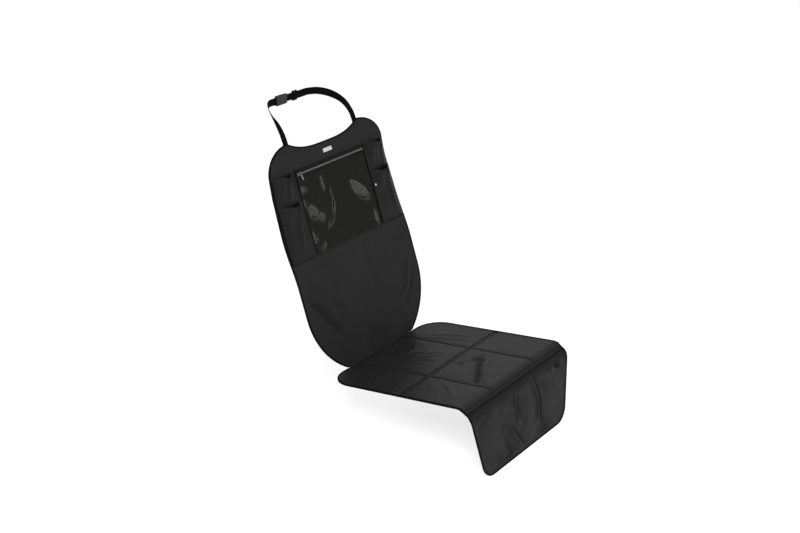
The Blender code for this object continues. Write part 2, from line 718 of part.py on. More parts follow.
def make_window(frame, film, tape):
    """The clear film, crowned a little, and the narrow piping along both its sides."""
    low, high = WINDOW_LEFT + PIPING_WIDTH / 2 + GAP, WINDOW_RIGHT - PIPING_WIDTH / 2 - GAP
    tape_foot = ZIP_HEIGHT - ZIP_SLOT / 2 - TAPE_WIDTH
    top = tape_foot + TAPE_ROOT
    lap = TAPE_RAISE + TAPE
    tops, bottoms = [], []
    heights = spread(WINDOW_BOTTOM, tape_foot - TAPE_ROOT, 6) + [tape_foot - GAP, top]
    for height in heights:
        rise = math.sin(math.pi * min(1.0, (height - WINDOW_BOTTOM) / (tape_foot - WINDOW_BOTTOM)))
        over = lap * smooth((height - tape_foot + TAPE_ROOT) / TAPE_ROOT)
        levels = []
        for across in spread(0, 1, 6):
            level = GAP + over + FILM_CROWN * rise * math.sin(math.pi * across)
            levels.append((low + (high - low) * across, level))
        bottoms.append([Vector((x, -level, height)) for x, level in levels])
        tops.append([Vector((x, -level - FILM, height)) for x, level in levels])
    add_part("window_film", slab(tops, bottoms), frame, film)
    piping_top = ZIP_HEIGHT + PIPING_OVERRUN
    for name, x in (("left", WINDOW_LEFT), ("right", WINDOW_RIGHT)):
        half = PIPING_WIDTH / 2
        shape = box((x - half, -GAP - PIPING_THICKNESS, WINDOW_BOTTOM), (x + half, -GAP, piping_top))
        add_part("window_piping_" + name, shape, frame, tape)


def make_pockets(frame, cloth):
    """Four side pockets in two tiers: the lower ones lie over the upper ones."""
    tiers = (("upper", UPPER_MOUTH, GAP), ("lower", LOWER_MOUTH, GAP + FABRIC + GAP))
    for side, word, seam in ((LEFT, "left", WINDOW_LEFT), (RIGHT, "right", WINDOW_RIGHT)):
        inner = abs(seam) + PIPING_WIDTH / 2 + GAP
        for tier, mouth, base in tiers:
            tops, bottoms = [], []
            for height in side_levels():
                if not WINDOW_BOTTOM - LEVEL_STEP < height < mouth + LEVEL_STEP:
                    continue
                edge = back_half_width(height)
                outer = edge - BINDING_COVER - GAP
                free = inner + POCKET_BORDER
                columns = [inner] + spread(free, edge - WRAP_WIDTH, 6) + [edge - WRAP_WIDTH / 2, outer]
                upper_row, lower_row = [], []
                for column in columns:
                    x = side * column
                    across = (column - free) / (outer - free)
                    ease = POCKET_EASE * wrap_back(x, height) / WRAP_DEPTH
                    level = base + ease + pocket_gape(across, height, mouth)
                    lower_row.append(on_back(x, height, level))
                    upper_row.append(on_back(x, height, level + FABRIC))
                tops.append(upper_row)
                bottoms.append(lower_row)
            add_part("pocket_" + word + "_" + tier, slab(tops, bottoms), frame, cloth)


def pocket_gape(across, height, mouth):
    """How far a pocket stands open, most near its mouth and on its inner half."""
    open_part = smooth(across / POCKET_OPEN_FULL)
    open_part *= smooth((POCKET_CLOSE_END - across) / (POCKET_CLOSE_END - POCKET_CLOSE_FROM))
    rise = smooth((height - mouth + POCKET_GAPE_DEPTH) / POCKET_GAPE_DEPTH)
    return POCKET_GAPE * open_part * rise


def make_trim(frame, label, stud):
    """The blank woven label and the small press stud."""
    half_x, half_z = LABEL_WIDTH / 2, LABEL_HEIGHT / 2
    patch = box((-half_x, -GAP - LABEL_THICKNESS, LABEL_CENTRE - half_z),
                (half_x, -GAP, LABEL_CENTRE + half_z))
    add_part("blank_label", patch, frame, label)
    seat = GAP + FABRIC + GAP + FABRIC + GAP
    rings = []
    turns = [2 * math.pi * step / STUD_STEPS for step in range(STUD_STEPS)]
    for share, rise in STUD_PROFILE:
        rings.append([Vector((share * STUD_RADIUS * math.cos(turn), -seat - rise * STUD_DOME,
                              share * STUD_RADIUS * math.sin(turn))) for turn in turns])
    add_part("press_stud", loft(rings), frame, stud, (STUD_X, 0, STUD_HEIGHT))


def in_crease_frame(x, height, out):
    """A point of the back frame, given in the upright crease frame."""
    lean = Matrix.Rotation(-BACK_LEAN, 3, "X")
    return lean @ Vector((x, -out, height))


def catmull(points, steps):
    """A smooth curve through a list of vectors, with a few points between each pair."""
    ends = [points[0] * 2 - points[1]] + points + [points[-1] * 2 - points[-2]]
    curve = []
    for before, start, end, after in zip(ends, ends[1:], ends[2:], ends[3:]):
        for step in range(steps):
            t = step / steps
            curve.append(0.5 * (2 * start + (end - before) * t
                                + (2 * before - 5 * start + 4 * end - after) * t * t
                                + (3 * start - before - 3 * end + after) * t ** 3))
    return curve + [points[-1]]


def webbing(route, widths):
    """Flat webbing along a route, whose width turns from one direction to another."""
    centres = catmull(route, STRAP_STEPS)
    across = catmull(widths, STRAP_STEPS)
    sections = []
    for index, (centre, width) in enumerate(zip(centres, across)):
        before, after = centres[max(0, index - 1)], centres[min(len(centres) - 1, index + 1)]
        forward = (after - before).normalized()
        width = (width - forward * width.dot(forward)).normalized()
        normal = forward.cross(width)
        w, t = width * WEBBING_WIDTH / 2, normal * WEBBING / 2
        sections.append([centre - w - t, centre + w - t, centre + w + t, centre - w + t])
    return loft(sections)


def strap_route(side, loop_y, end_x):
    """From the shoulder, up and back over the seat's top, then round behind the headrest's posts.

    STRAP_SHARES gives the shares of the rise in x, y and z at four points between, and STRAP_TURNS
    the turn of the webbing's width at each point of the route.
    """
    behind = -BACK_THICKNESS - BINDING_EASE - BINDING_WALL - 2 * GAP - WEBBING / 2
    sewn = in_crease_frame(side * STRAP_X, BACK_HEIGHT - STRAP_SEWN, behind)
    edge = in_crease_frame(side * STRAP_X, BACK_HEIGHT - STRAP_BEND_SET, behind)
    corner = Vector((side * LOOP_CORNER_X, loop_y - LOOP_CORNER_SET, LOOP_Z))
    reach = corner - edge
    between = [edge + Vector((reach.x * x, reach.y * y, reach.z * z)) for x, y, z in STRAP_SHARES]
    straight = [Vector((side * (LOOP_CORNER_X - LOOP_CORNER_RUN), loop_y, LOOP_Z)),
                Vector((end_x, loop_y, LOOP_Z))]
    route = [sewn, edge] + between + [corner] + straight
    turns = [math.radians(turn) for turn in STRAP_TURNS]
    widths = [Vector((side * math.cos(turn), 0, math.sin(turn))) for turn in turns]
    return webbing(route, widths)


def make_strap(frame, web, plastic):
    """Both strap ends, the running end, its slide and the buckle behind the headrest."""
    fixed_y = LOOP_Y - WEBBING - 2 * GAP - WEBBING
    socket_far = BUCKLE_MATE_X - SOCKET_LENGTH
    left_end = socket_far + SOCKET_SLOT_DEPTH - GAP
    add_part("strap_left", strap_route(LEFT, LOOP_Y, left_end), frame, web)

    passage_y, passage_z = WEBBING / 2 + GAP, WEBBING_WIDTH / 2 + PASSAGE_EASE
    mate = (BUCKLE_MATE_X, LOOP_Y, LOOP_Z)
    body = box((-SOCKET_LENGTH, -SOCKET_HALF_DEPTH, -SOCKET_HALF_HEIGHT),
               (-GAP, SOCKET_HALF_DEPTH, SOCKET_HALF_HEIGHT))
    socket = add_part("buckle_socket", body, frame, plastic, mate)
    cavity_y, cavity_z = PRONG_HALF_DEPTH + RUNNING_CLEARANCE, SOCKET_HALF_HEIGHT - SOCKET_WALL
    cavity_end = -PRONG_LENGTH - 2 * GAP
    cavity = box((cavity_end, -cavity_y, -cavity_z), (PLUG_BASE, cavity_y, cavity_z))
    add_cutter("socket_cavity", cavity, socket)
    window = box((-WINDOW_CUT_START - WINDOW_CUT_LENGTH, -cavity_y, -2 * SOCKET_HALF_HEIGHT),
                 (-WINDOW_CUT_START, cavity_y, 2 * SOCKET_HALF_HEIGHT))
    add_cutter("socket_windows", window, socket)
    slot = box((-2 * SOCKET_LENGTH, -passage_y, -passage_z),
               (SOCKET_SLOT_DEPTH - SOCKET_LENGTH, passage_y, passage_z))
    add_cutter("socket_slot", slot, socket)

    arm_out = cavity_z - RUNNING_CLEARANCE
    base = box((0, -PLUG_HALF_DEPTH, -SOCKET_HALF_HEIGHT), (PLUG_BASE, PLUG_HALF_DEPTH, SOCKET_HALF_HEIGHT))
    plug = add_part("buckle_plug", base, frame, plastic, mate)
    prongs = {"guide": (-GUIDE_HALF_WIDTH, GUIDE_HALF_WIDTH), "upper_arm": (arm_out - ARM_WIDTH, arm_out),
              "lower_arm": (-arm_out, ARM_WIDTH - arm_out)}
    for name, (low, high) in prongs.items():
        prong = box((-PRONG_LENGTH, -PRONG_HALF_DEPTH, low), (PRONG_ROOT, PRONG_HALF_DEPTH, high))
        add_cutter("plug_" + name, prong, plug, "UNION")
    bar_start = PLUG_BASE - PLUG_SLOT_DEPTH
    slot = box((bar_start, -passage_y, -passage_z), (2 * PLUG_BASE, passage_y, passage_z))
    add_cutter("plug_slot", slot, plug)

    start = BUCKLE_MATE_X + bar_start + GAP
    half_y, half_z = WEBBING / 2, WEBBING_WIDTH / 2
    running = box((0, -half_y, -half_z), (RUNNING_END_LENGTH, half_y, half_z))
    add_part("strap_running_end", running, frame, web, (start, LOOP_Y, LOOP_Z))

    slide_x = BUCKLE_MATE_X + PLUG_BASE + PLUG_TRAVEL + SLIDE_BAR + SLIDE_LENGTH / 2
    front = -WEBBING / 2 - GAP - WEBBING
    back = WEBBING / 2 + GAP + SLIDE_BACK
    rail = passage_z + SLIDE_BAR
    half = SLIDE_LENGTH / 2
    slide = add_part("strap_slide", box((-half, front, -rail), (half, back, rail)), frame, plastic,
                     (slide_x, LOOP_Y, LOOP_Z))
    centre_bar = SLIDE_CENTRE_BAR / 2
    cuts = {"passage": ((-2 * half, -passage_y, -passage_z), (2 * half, passage_y, passage_z)),
            "front_left": ((-2 * half, 2 * front, -passage_z), (-centre_bar, 0, passage_z)),
            "front_right": ((centre_bar, 2 * front, -passage_z), (2 * half, 0, passage_z)),
            "rear": ((SLIDE_BAR - half, 0, -passage_z), (half - SLIDE_BAR, 2 * back, passage_z))}
    for name, (low, high) in cuts.items():
        add_cutter("slide_" + name, box(low, high), slide)
    add_part("strap_right", strap_route(RIGHT, fixed_y, slide_x - centre_bar - STRAP_LAP), frame, web)


def main():
    """Build the whole protector."""
    clear_scene()
    cloth = finish("black_polyester_cloth", (0.022, 0.022, 0.023), 0.75)
    lining = finish("black_lining_cloth", (0.018, 0.018, 0.019), 0.85)
    foam = finish("grey_foam", (0.10, 0.10, 0.10), 0.9)
    grip = finish("grip_coated_cloth", (0.02, 0.02, 0.02), 0.6)
    tape = finish("black_edge_tape", (0.008, 0.008, 0.008), 0.8)
    film = finish("clear_film", (0.8, 0.8, 0.8), 0.1, alpha=0.2)
    zip_cloth = finish("black_zip_tape", (0.02, 0.02, 0.021), 0.8)
    teeth = finish("grey_zip_teeth", (0.2, 0.2, 0.2), 0.4)
    metal = finish("grey_zip_metal", (0.35, 0.35, 0.36), 0.35, metallic=0.9)
    web = finish("black_webbing", (0.006, 0.006, 0.006), 0.75)
    plastic = finish("black_plastic", (0.012, 0.012, 0.012), 0.45)
    label = finish("white_label", (0.85, 0.85, 0.85), 0.7)
    stud = finish("white_plastic", (0.85, 0.85, 0.85), 0.35)

    rest = Matrix.Rotation(-SEAT_TILT, 3, "X") @ on_seat(0, REST_CENTRE, -SEAT_THICKNESS)
    crease = add_frame("crease", None, -rest)
    back = add_frame("back_frame", crease, tilt=-BACK_LEAN)
    seat = add_frame("seat_frame", crease, tilt=-SEAT_TILT)
    make_back(back, cloth, foam, lining, tape)
    make_seat(seat, cloth, foam, grip, lining, tape)
    make_crease_tape(crease, tape)
    make_window(back, film, tape)
    make_zip(back, zip_cloth, teeth, metal)
    make_pockets(back, cloth)
    make_trim(back, label, stud)
    make_strap(crease, web, plastic)


main()
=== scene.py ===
"""Looks of the car seat protector: sewn cloth, clear window, zip, pockets, webbing and buckle.

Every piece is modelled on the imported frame, in metres. Cloth is described in flat coordinates: the
back panel by x and its height h from the crease, the seat panel and flap by x and the length of
cloth s from the crease. Both also take n, the distance out of the visible face.
"""
import logging
import math
from dataclasses import dataclass
from enum import Enum
from typing import Callable, Sequence

import bmesh
import bpy
import numpy as np
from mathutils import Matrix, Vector
from mathutils.geometry import delaunay_2d_cdt


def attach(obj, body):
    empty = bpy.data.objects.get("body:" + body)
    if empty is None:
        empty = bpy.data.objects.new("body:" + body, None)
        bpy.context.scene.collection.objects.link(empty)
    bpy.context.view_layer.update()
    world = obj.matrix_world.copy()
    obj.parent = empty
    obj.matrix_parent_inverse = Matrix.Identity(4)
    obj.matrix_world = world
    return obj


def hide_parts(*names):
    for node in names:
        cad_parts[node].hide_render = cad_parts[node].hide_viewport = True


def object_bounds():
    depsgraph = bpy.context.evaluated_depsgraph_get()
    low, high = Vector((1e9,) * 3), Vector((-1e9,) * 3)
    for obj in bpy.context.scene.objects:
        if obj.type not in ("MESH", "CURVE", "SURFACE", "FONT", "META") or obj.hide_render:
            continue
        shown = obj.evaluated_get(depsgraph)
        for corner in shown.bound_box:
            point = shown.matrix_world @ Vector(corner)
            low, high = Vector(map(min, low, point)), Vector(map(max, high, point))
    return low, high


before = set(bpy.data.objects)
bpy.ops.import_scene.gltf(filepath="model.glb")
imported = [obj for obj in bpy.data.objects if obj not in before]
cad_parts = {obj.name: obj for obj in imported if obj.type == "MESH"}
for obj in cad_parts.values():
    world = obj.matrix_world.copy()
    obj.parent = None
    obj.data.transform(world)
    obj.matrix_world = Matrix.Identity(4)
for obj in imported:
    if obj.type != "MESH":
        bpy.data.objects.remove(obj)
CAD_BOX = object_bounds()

LOG = logging.getLogger("protector")
Array = np.ndarray
BODY = "protector"


@dataclass(frozen=True)
class Layers:
    """Thicknesses of the sewn layers and the gap between them, in metres."""

    gap: float = 0.0003
    fabric: float = 0.0008
    lining: float = 0.0006
    back_foam: float = 0.0020
    seat_foam: float = 0.0030

    @property
    def back(self) -> float:
        """Depth of the whole back panel."""
        return self.fabric + self.gap + self.back_foam + self.gap + self.lining

    @property
    def seat(self) -> float:
        """Depth of the whole seat panel."""
        return self.fabric + self.gap + self.seat_foam + self.gap + self.fabric


@dataclass(frozen=True)
class BackSizes:
    """Outline of the back panel and how its sides turn back round the seat."""

    half_width: float = 0.2450
    hip_height: float = 0.170
    hip_drop: float = 0.208
    taper_start: float = 0.330
    shoulder_half_width: float = 0.2370
    shoulder_height: float = 0.548
    shoulder_top_x: float = 0.142
    height: float = 0.621
    neck_half_width: float = 0.146
    neck_height: float = 0.5945
    neck_power: float = 3.2
    wrap_depth: float = 0.010
    wrap_width: float = 0.026
    wrap_full: tuple[float, float] = (0.400, 0.485)
    wrap_end: tuple[float, float] = (0.250, 0.605)


@dataclass(frozen=True)
class SeatSizes:
    """Outline, seams and bend of the seat panel and flap, along the cloth."""

    half_width: float = 0.235
    rear_radius: float = 0.065
    cushion_edge: float = 0.4515
    cushion_radius: float = 0.045
    cross_seam: float = 0.223
    cross_seam_front: float = 0.232
    long_seam_x: float = 0.102
    rear_fold: float = 0.431
    front_fold: float = 0.443
    fold_sink: float = 0.0027
    fold_slope: float = 0.006
    flap_sink: float = 0.0012
    taper_start: float = 0.460
    bottom_half_width: float = 0.195
    corner_radius: float = 0.036
    length: float = 0.640


@dataclass(frozen=True)
class WindowSizes:
    """Clear window, its zip, the pockets beside it and the small trim."""

    left: float = -0.147
    right: float = 0.141
    bottom: float = 0.321
    zip_height: float = 0.537
    piping_width: float = 0.004
    piping_thickness: float = 0.0022
    piping_overrun: float = 0.014
    tape_width: float = 0.0125
    tape_root: float = 0.005
    tape_raise: float = 0.0012
    tape: float = 0.0005
    slot: float = 0.0014
    film: float = 0.0004
    film_crown: float = 0.0025
    upper_mouth: float = 0.548
    lower_mouth: float = 0.470
    gape: float = 0.0125
    gape_depth: float = 0.070
    border: float = 0.013
    open_full: float = 0.22
    close_from: float = 0.62
    close_end: float = 0.94
    ease: float = 0.0004


LAYERS = Layers()
BACK = BackSizes()
SEAT = SeatSizes()
WINDOW = WindowSizes()
CREASE = np.array([0.0, 0.159467, -0.014060])
BACK_LEAN = math.radians(18.1)
SEAT_TILT = math.radians(6.9)
FLAP_KICK = math.radians(7.5)
TURN = math.pi / 2 + SEAT_TILT - FLAP_KICK
BEND_START = SEAT.cushion_edge - SEAT.cushion_radius * math.tan(TURN / 2)
BEND_END = BEND_START + SEAT.cushion_radius * TURN
BINDING_COVER = 0.0045
TAPE_SHOWN = 0.0032
SEAM_STEPS = np.array([-0.0026, -0.0013, 0.0, 0.0013, 0.0026])
BINDING_WALL = 0.0006
EDGE_MARGIN = 0.014
BACK_PINCH = 0.0016
SEAT_PINCH = 0.0020
BINDING_EASE = 0.0002
PIPING_EDGE = WINDOW.piping_width / 2 + LAYERS.gap
CLOTH_SHOWN = LAYERS.fabric * 0.9
PUCKER_PITCH = 0.0064
UP_THE_BACK = (0.0, 0.3107, 0.9505)
OUT_OF_THE_BACK = (0.0, -0.9505, 0.3107)
CREASE_HALF = math.sqrt(1 - (BACK.hip_height / BACK.hip_drop) ** 2) * BACK.half_width


def smooth(value: Array) -> Array:
    """Ease from 0 to 1, clamped at both ends."""
    value = np.clip(value, 0.0, 1.0)
    return value * value * (3 - 2 * value)


def unit(vectors: Array) -> Array:
    """Vectors scaled to length 1."""
    return vectors / np.linalg.norm(vectors, axis=-1, keepdims=True)


def run_along(points: Array) -> Array:
    """Length along a line from its start to each of its points."""
    return np.concatenate([[0], np.cumsum(np.linalg.norm(np.diff(points, axis=0), axis=1))])


def turned(points: Array, angle: float) -> Array:
    """Turn points about X through the crease and move them to the row frame.

    Args:
        points: Points in a leaning or tilted frame.
        angle: Turn about X in radians.

    Returns:
        Points in the row frame.
    """
    cos, sin = math.cos(angle), math.sin(angle)
    x, y, z = points[..., 0], points[..., 1], points[..., 2]
    return np.stack([x, cos * y - sin * z, sin * y + cos * z], axis=-1) + CREASE


def back_half_width(height: Array) -> Array:
    """Half the width of the back panel at a height."""
    height = np.asarray(height, dtype=float)
    low = np.sqrt(np.clip(1 - ((BACK.hip_height - height) / BACK.hip_drop) ** 2, 0, 1)) * BACK.half_width
    taper = smooth((height - BACK.taper_start) / (BACK.shoulder_height - BACK.taper_start))
    mid = BACK.half_width + (BACK.shoulder_half_width - BACK.half_width) * taper
    rise = np.clip((height - BACK.shoulder_height) / (BACK.height - BACK.shoulder_height), 0, 1)
    high = BACK.shoulder_top_x + (mid - BACK.shoulder_top_x) * np.sqrt(1 - rise * rise)
    return np.where(height < BACK.hip_height, low, np.where(height <= BACK.shoulder_height, mid, high))


def wrap_back(x: Array, height: Array) -> Array:
    """How far the side edge of the back panel turns back round the seat."""
    low, high = BACK.wrap_end
    full = smooth((height - low) / (BACK.wrap_full[0] - low))
    full = full * smooth((high - height) / (high - BACK.wrap_full[1]))
    edge = back_half_width(np.minimum(height, high)) - BACK.wrap_width
    return BACK.wrap_depth * full * (np.maximum(0, np.abs(x) - edge) / BACK.wrap_width) ** 2


def on_back(x: Array, height: Array, out: Array) -> Array:
    """Row-frame points of the back panel, a distance out of its visible face."""
    x, height, out = np.broadcast_arrays(*(np.asarray(v, dtype=float) for v in (x, height, out)))
    return turned(np.stack([x, wrap_back(x, height) - out, height], axis=-1), -BACK_LEAN)


def on_seat(x: Array, along: Array, out: Array) -> Array:
    """Row-frame points of the seat panel and flap, following the cloth over the cushion's edge."""
    x, along, out = np.broadcast_arrays(*(np.asarray(v, dtype=float) for v in (x, along, out)))
    turn = np.clip(along - BEND_START, 0, BEND_END - BEND_START) / SEAT.cushion_radius
    radius = SEAT.cushion_radius + out
    flat = np.minimum(along, BEND_START)
    hang = np.maximum(0, along - BEND_END)
    y = -flat - radius * np.sin(turn) - np.cos(turn) * hang
    z = radius * np.cos(turn) - SEAT.cushion_radius - np.sin(turn) * hang
    return turned(np.stack([x, y, z], axis=-1), -SEAT_TILT)


def neck_corner_height() -> float:
    """Height of the shoulder's arc where the neck's edge meets it."""
    reach = BACK.shoulder_half_width - BACK.shoulder_top_x
    run = (BACK.neck_half_width - BACK.shoulder_top_x) / reach
    return BACK.shoulder_height + (BACK.height - BACK.shoulder_height) * math.sqrt(1 - run * run)


def back_outline(step: float) -> Array:
    """The back panel's edge, anticlockwise from the right end of the crease to its left end."""
    start = math.acos(BACK.hip_height / BACK.hip_drop)
    side = []
    for angle in np.linspace(start, math.pi / 2, 40):
        side.append((BACK.half_width * math.sin(angle),
                     max(0.0, BACK.hip_height - BACK.hip_drop * math.cos(angle))))
    heights = np.linspace(BACK.hip_height, BACK.shoulder_height, 90)[1:]
    side += list(zip(back_half_width(heights), heights))
    reach = BACK.shoulder_half_width - BACK.shoulder_top_x
    last = math.acos((BACK.neck_half_width - BACK.shoulder_top_x) / reach)
    for angle in np.linspace(0, last, 40)[1:]:
        side.append((BACK.shoulder_top_x + reach * math.cos(angle),
                     BACK.shoulder_height + (BACK.height - BACK.shoulder_height) * math.sin(angle)))
    rise = neck_corner_height() - BACK.neck_height
    for x in np.linspace(BACK.neck_half_width, 0, 50)[1:]:
        side.append((x, BACK.neck_height + rise * (x / BACK.neck_half_width) ** BACK.neck_power))
    half = np.array(side)
    return respaced(np.vstack([half, half[-2::-1] * (-1, 1)]), step)


def seat_half_width(along: Array) -> Array:
    """Half the width of the seat panel and flap at a length of cloth from the crease."""
    along = np.asarray(along, dtype=float)
    rest = np.clip(SEAT.rear_radius - along, 0, SEAT.rear_radius)
    rear = SEAT.half_width - SEAT.rear_radius + np.sqrt(SEAT.rear_radius ** 2 - rest ** 2)
    taper = np.maximum(0, along - SEAT.taper_start) / (SEAT.length - SEAT.taper_start)
    width = SEAT.half_width + (SEAT.bottom_half_width - SEAT.half_width) * taper
    past = np.clip(along - (SEAT.length - SEAT.corner_radius), 0, SEAT.corner_radius)
    front = width - SEAT.corner_radius + np.sqrt(SEAT.corner_radius ** 2 - past ** 2)
    return np.where(along < SEAT.rear_radius, rear, front)


def seat_rows(start: float, end: float, step: float) -> Array:
    """Lengths at which the seat panel or flap is sampled, closer together round its corners."""
    rear = SEAT.rear_radius * (1 - np.cos(np.linspace(0, math.pi / 2, 18)))
    front = SEAT.length - SEAT.corner_radius * (1 - np.sin(np.linspace(0, math.pi / 2, 12)))
    middle = np.linspace(start, end, max(2, round((end - start) / step) + 1))
    middle = middle[(middle > SEAT.rear_radius + step / 2) | (start >= SEAT.rear_radius)]
    middle = middle[(middle < SEAT.length - SEAT.corner_radius - step / 2)]
    seams = np.add.outer((SEAT.cross_seam, SEAT.cross_seam_front, SEAT.rear_fold, SEAT.front_fold),
                         SEAM_STEPS).ravel()
    rows = np.unique(np.concatenate([[start, end], rear, middle, seams, front]).round(6))
    rows = rows[(rows >= start - 1e-9) & (rows <= end + 1e-9)]
    keep = [rows[0]]
    for value in rows[1:]:
        if value - keep[-1] > 0.0004:
            keep.append(value)
    keep[-1] = end
    return np.array(keep)


def seat_outline(step: float) -> Array:
    """The edge of the seat panel and flap, from the right of the crease round to its left."""
    rear = SEAT.rear_radius * (1 - np.cos(np.linspace(0, math.pi / 2, 30)))
    front = SEAT.length - SEAT.corner_radius * (1 - np.sin(np.linspace(0, math.pi / 2, 30)))
    rows = np.concatenate([rear, np.linspace(SEAT.rear_radius, front[0], 160)[1:-1], front])
    side = np.vstack([[(CREASE_HALF + BINDING_COVER, 0.0)],
                      np.stack([seat_half_width(rows), rows], axis=-1)])
    return respaced(np.vstack([side, side[::-1] * (-1, 1)]), step)


def lower_top(along: Array) -> Array:
    """Level of the visible face along the seat panel, its fold and the flap."""
    into_fold = smooth((along - SEAT.rear_fold + SEAT.fold_slope) / SEAT.fold_slope)
    into_flap = smooth((along - SEAT.front_fold) / SEAT.fold_slope)
    return (SEAT.fold_sink - SEAT.flap_sink) * into_flap - SEAT.fold_sink * into_fold


def lower_bottom(along: Array) -> Array:
    """Level of the under side along the seat panel, its fold and the flap."""
    fold = SEAT.fold_sink + LAYERS.fabric + LAYERS.gap + LAYERS.fabric
    flap = SEAT.flap_sink + LAYERS.fabric + LAYERS.gap + LAYERS.lining
    into_fold = smooth((along - SEAT.rear_fold + SEAT.fold_slope) / SEAT.fold_slope)
    into_flap = smooth((along - SEAT.front_fold) / SEAT.fold_slope)
    return -LAYERS.seat - (fold - LAYERS.seat) * into_fold - (flap - fold) * into_flap


def respaced(points: Array, step: float) -> Array:
    """Spread points evenly along an open line."""
    lengths = run_along(points)
    count = max(2, round(lengths[-1] / step) + 1)
    wanted = np.linspace(0, lengths[-1], count)
    return np.stack([np.interp(wanted, lengths, points[:, i]) for i in range(points.shape[1])], axis=-1)


def inward(points: Array) -> Array:
    """Inward directions of an outline that runs anticlockwise in (x, h), clockwise in (x, -s)."""
    ahead = unit(np.gradient(points, axis=0))
    return np.stack([-ahead[:, 1], ahead[:, 0]], axis=-1)


def hill(x: Array, y: Array, centre: Sequence[float], size: Sequence[float],
         angle: float = 0.0) -> Array:
    """A round or long bump of height 1.

    Args:
        x: First coordinate.
        y: Second coordinate.
        centre: Middle of the bump.
        size: Half lengths along its two axes.
        angle: Turn of its first axis from x, in degrees.

    Returns:
        Height of the bump at each point.
    """
    turn = math.radians(angle)
    dx, dy = x - centre[0], y - centre[1]
    along = dx * math.cos(turn) + dy * math.sin(turn)
    across = dy * math.cos(turn) - dx * math.sin(turn)
    return np.exp(-(along / size[0]) ** 2 - (across / size[1]) ** 2)


def crease_line(x: Array, y: Array, path: Sequence[Sequence[float]], width: float,
                fade: float = 0.25) -> Array:
    """A soft ridge of height 1 along a bent line, which fades at both ends.

    Args:
        x: First coordinate.
        y: Second coordinate.
        path: Points of the line.
        width: Half width of the ridge.
        fade: Share of the line over which each end fades.

    Returns:
        Height of the ridge at each point.
    """
    points = respaced(np.array(path, dtype=float), width / 2)
    nearest = np.full(np.shape(x), np.inf)
    share = np.zeros(np.shape(x))
    for index, (px, py) in enumerate(points):
        distance = (x - px) ** 2 + (y - py) ** 2
        closer = distance < nearest
        nearest = np.where(closer, distance, nearest)
        share = np.where(closer, index / (len(points) - 1), share)
    ends = smooth(share / fade) * smooth((1 - share) / fade)
    return np.exp(-nearest / width ** 2) * (0.15 + 0.85 * ends)


def summed(form: Callable, x: Array, y: Array, table: Sequence[Sequence]) -> Array:
    """Sum of forms of one kind. Each row of the table is a height and then the form's own values."""
    return sum(height * form(x, y, *values) for height, *values in table)


def ripple(x: Array, y: Array, scale: float, seed: int) -> Array:
    """Slow random swell between about -1 and 1, the same each run."""
    draw = np.random.default_rng(seed)
    total = np.zeros(np.shape(x))
    for octave in range(3):
        size = scale / 1.9 ** octave
        for _ in range(5):
            turn = draw.uniform(0, math.pi)
            phase = draw.uniform(0, 2 * math.pi)
            along = x * math.cos(turn) + y * math.sin(turn)
            total += np.sin(along / size * 2 * math.pi + phase) / 1.7 ** octave
    return total / 7


def seat_pinch(x: Array, s: Array) -> Array:
    """How much thinner the seat panel is pressed near its taped edges."""
    before = smooth((SEAT.rear_fold - s) / EDGE_MARGIN)
    return SEAT_PINCH * before * smooth(1 - (seat_half_width(s) - np.abs(x)) / EDGE_MARGIN)


class Weave(Enum):
    """Kinds of cloth surface."""

    PLAIN = "plain"
    RIB = "rib"
    WEBBING = "webbing"
    DOTS = "dots"


@dataclass(frozen=True)
class Finish:
    """One surface finish.

    Attributes:
        name: Material name.
        colour: Linear base colour.
        roughness: Principled roughness.
        pitch: Yarn or grain pitch in metres.
        depth: Bump distance in metres.
        variation: Share by which the colour varies over the surface.
        weave: Kind of cloth, or None for a moulded or metal surface.
        specular: Specular level.
        metallic: Metallic value.
        alpha: Opacity.
    """

    name: str
    colour: tuple[float, float, float]
    roughness: float
    pitch: float = 0.0006
    depth: float = 0.00008
    variation: float = 0.12
    weave: Weave | None = None
    specular: float = 0.25
    metallic: float = 0.0
    alpha: float = 1.0


BACK_CLOTH = Finish("back_cloth", (0.0195, 0.0195, 0.0200), 0.68, weave=Weave.PLAIN, specular=0.20)
SEAT_CLOTH = Finish("seat_cloth", (0.0215, 0.0215, 0.0215), 0.43, weave=Weave.PLAIN, specular=0.26)
# Painted shade: the flap is the seat's cloth, with its colour set darker for how the light falls on it.
FLAP_CLOTH = Finish("flap_cloth", (0.0165, 0.0165, 0.0165), 0.45, weave=Weave.PLAIN, specular=0.08)
POCKET_CLOTH = Finish("pocket_cloth", (0.0105, 0.0105, 0.0105), 0.50, weave=Weave.PLAIN, specular=0.18)
LINING = Finish("lining_cloth", (0.0150, 0.0150, 0.0155), 0.80, 0.0005, 0.00005, weave=Weave.PLAIN,
                specular=0.15)
GRIP = Finish("grip_cloth", (0.0150, 0.0150, 0.0150), 0.62, 0.0040, 0.00035, weave=Weave.DOTS, specular=0.25)
TAPE = Finish("edge_tape", (0.0070, 0.0070, 0.0070), 0.85, 0.0009, 0.00010, weave=Weave.RIB, specular=0.05)
ZIP_TAPE = Finish("zip_tape", (0.0130, 0.0130, 0.0135), 0.80, 0.0007, 0.00008, weave=Weave.RIB,
                  specular=0.12)
WEBBING = Finish("webbing", (0.0030, 0.0030, 0.0030), 0.80, 0.0014, 0.00020, weave=Weave.WEBBING,
                 specular=0.08)
THREAD = Finish("thread", (0.0050, 0.0050, 0.0050), 0.85, 0.0003, 0.00003, specular=0.05)
FOAM = Finish("foam", (0.10, 0.10, 0.10), 0.90, 0.0011, 0.00015, specular=0.1)
COIL = Finish("zip_coil", (0.45, 0.45, 0.45), 0.34, 0.0008, 0.00002, specular=0.5)
METAL = Finish("zip_metal", (0.20, 0.20, 0.20), 0.45, 0.0012, 0.00003, metallic=0.85, specular=0.4)
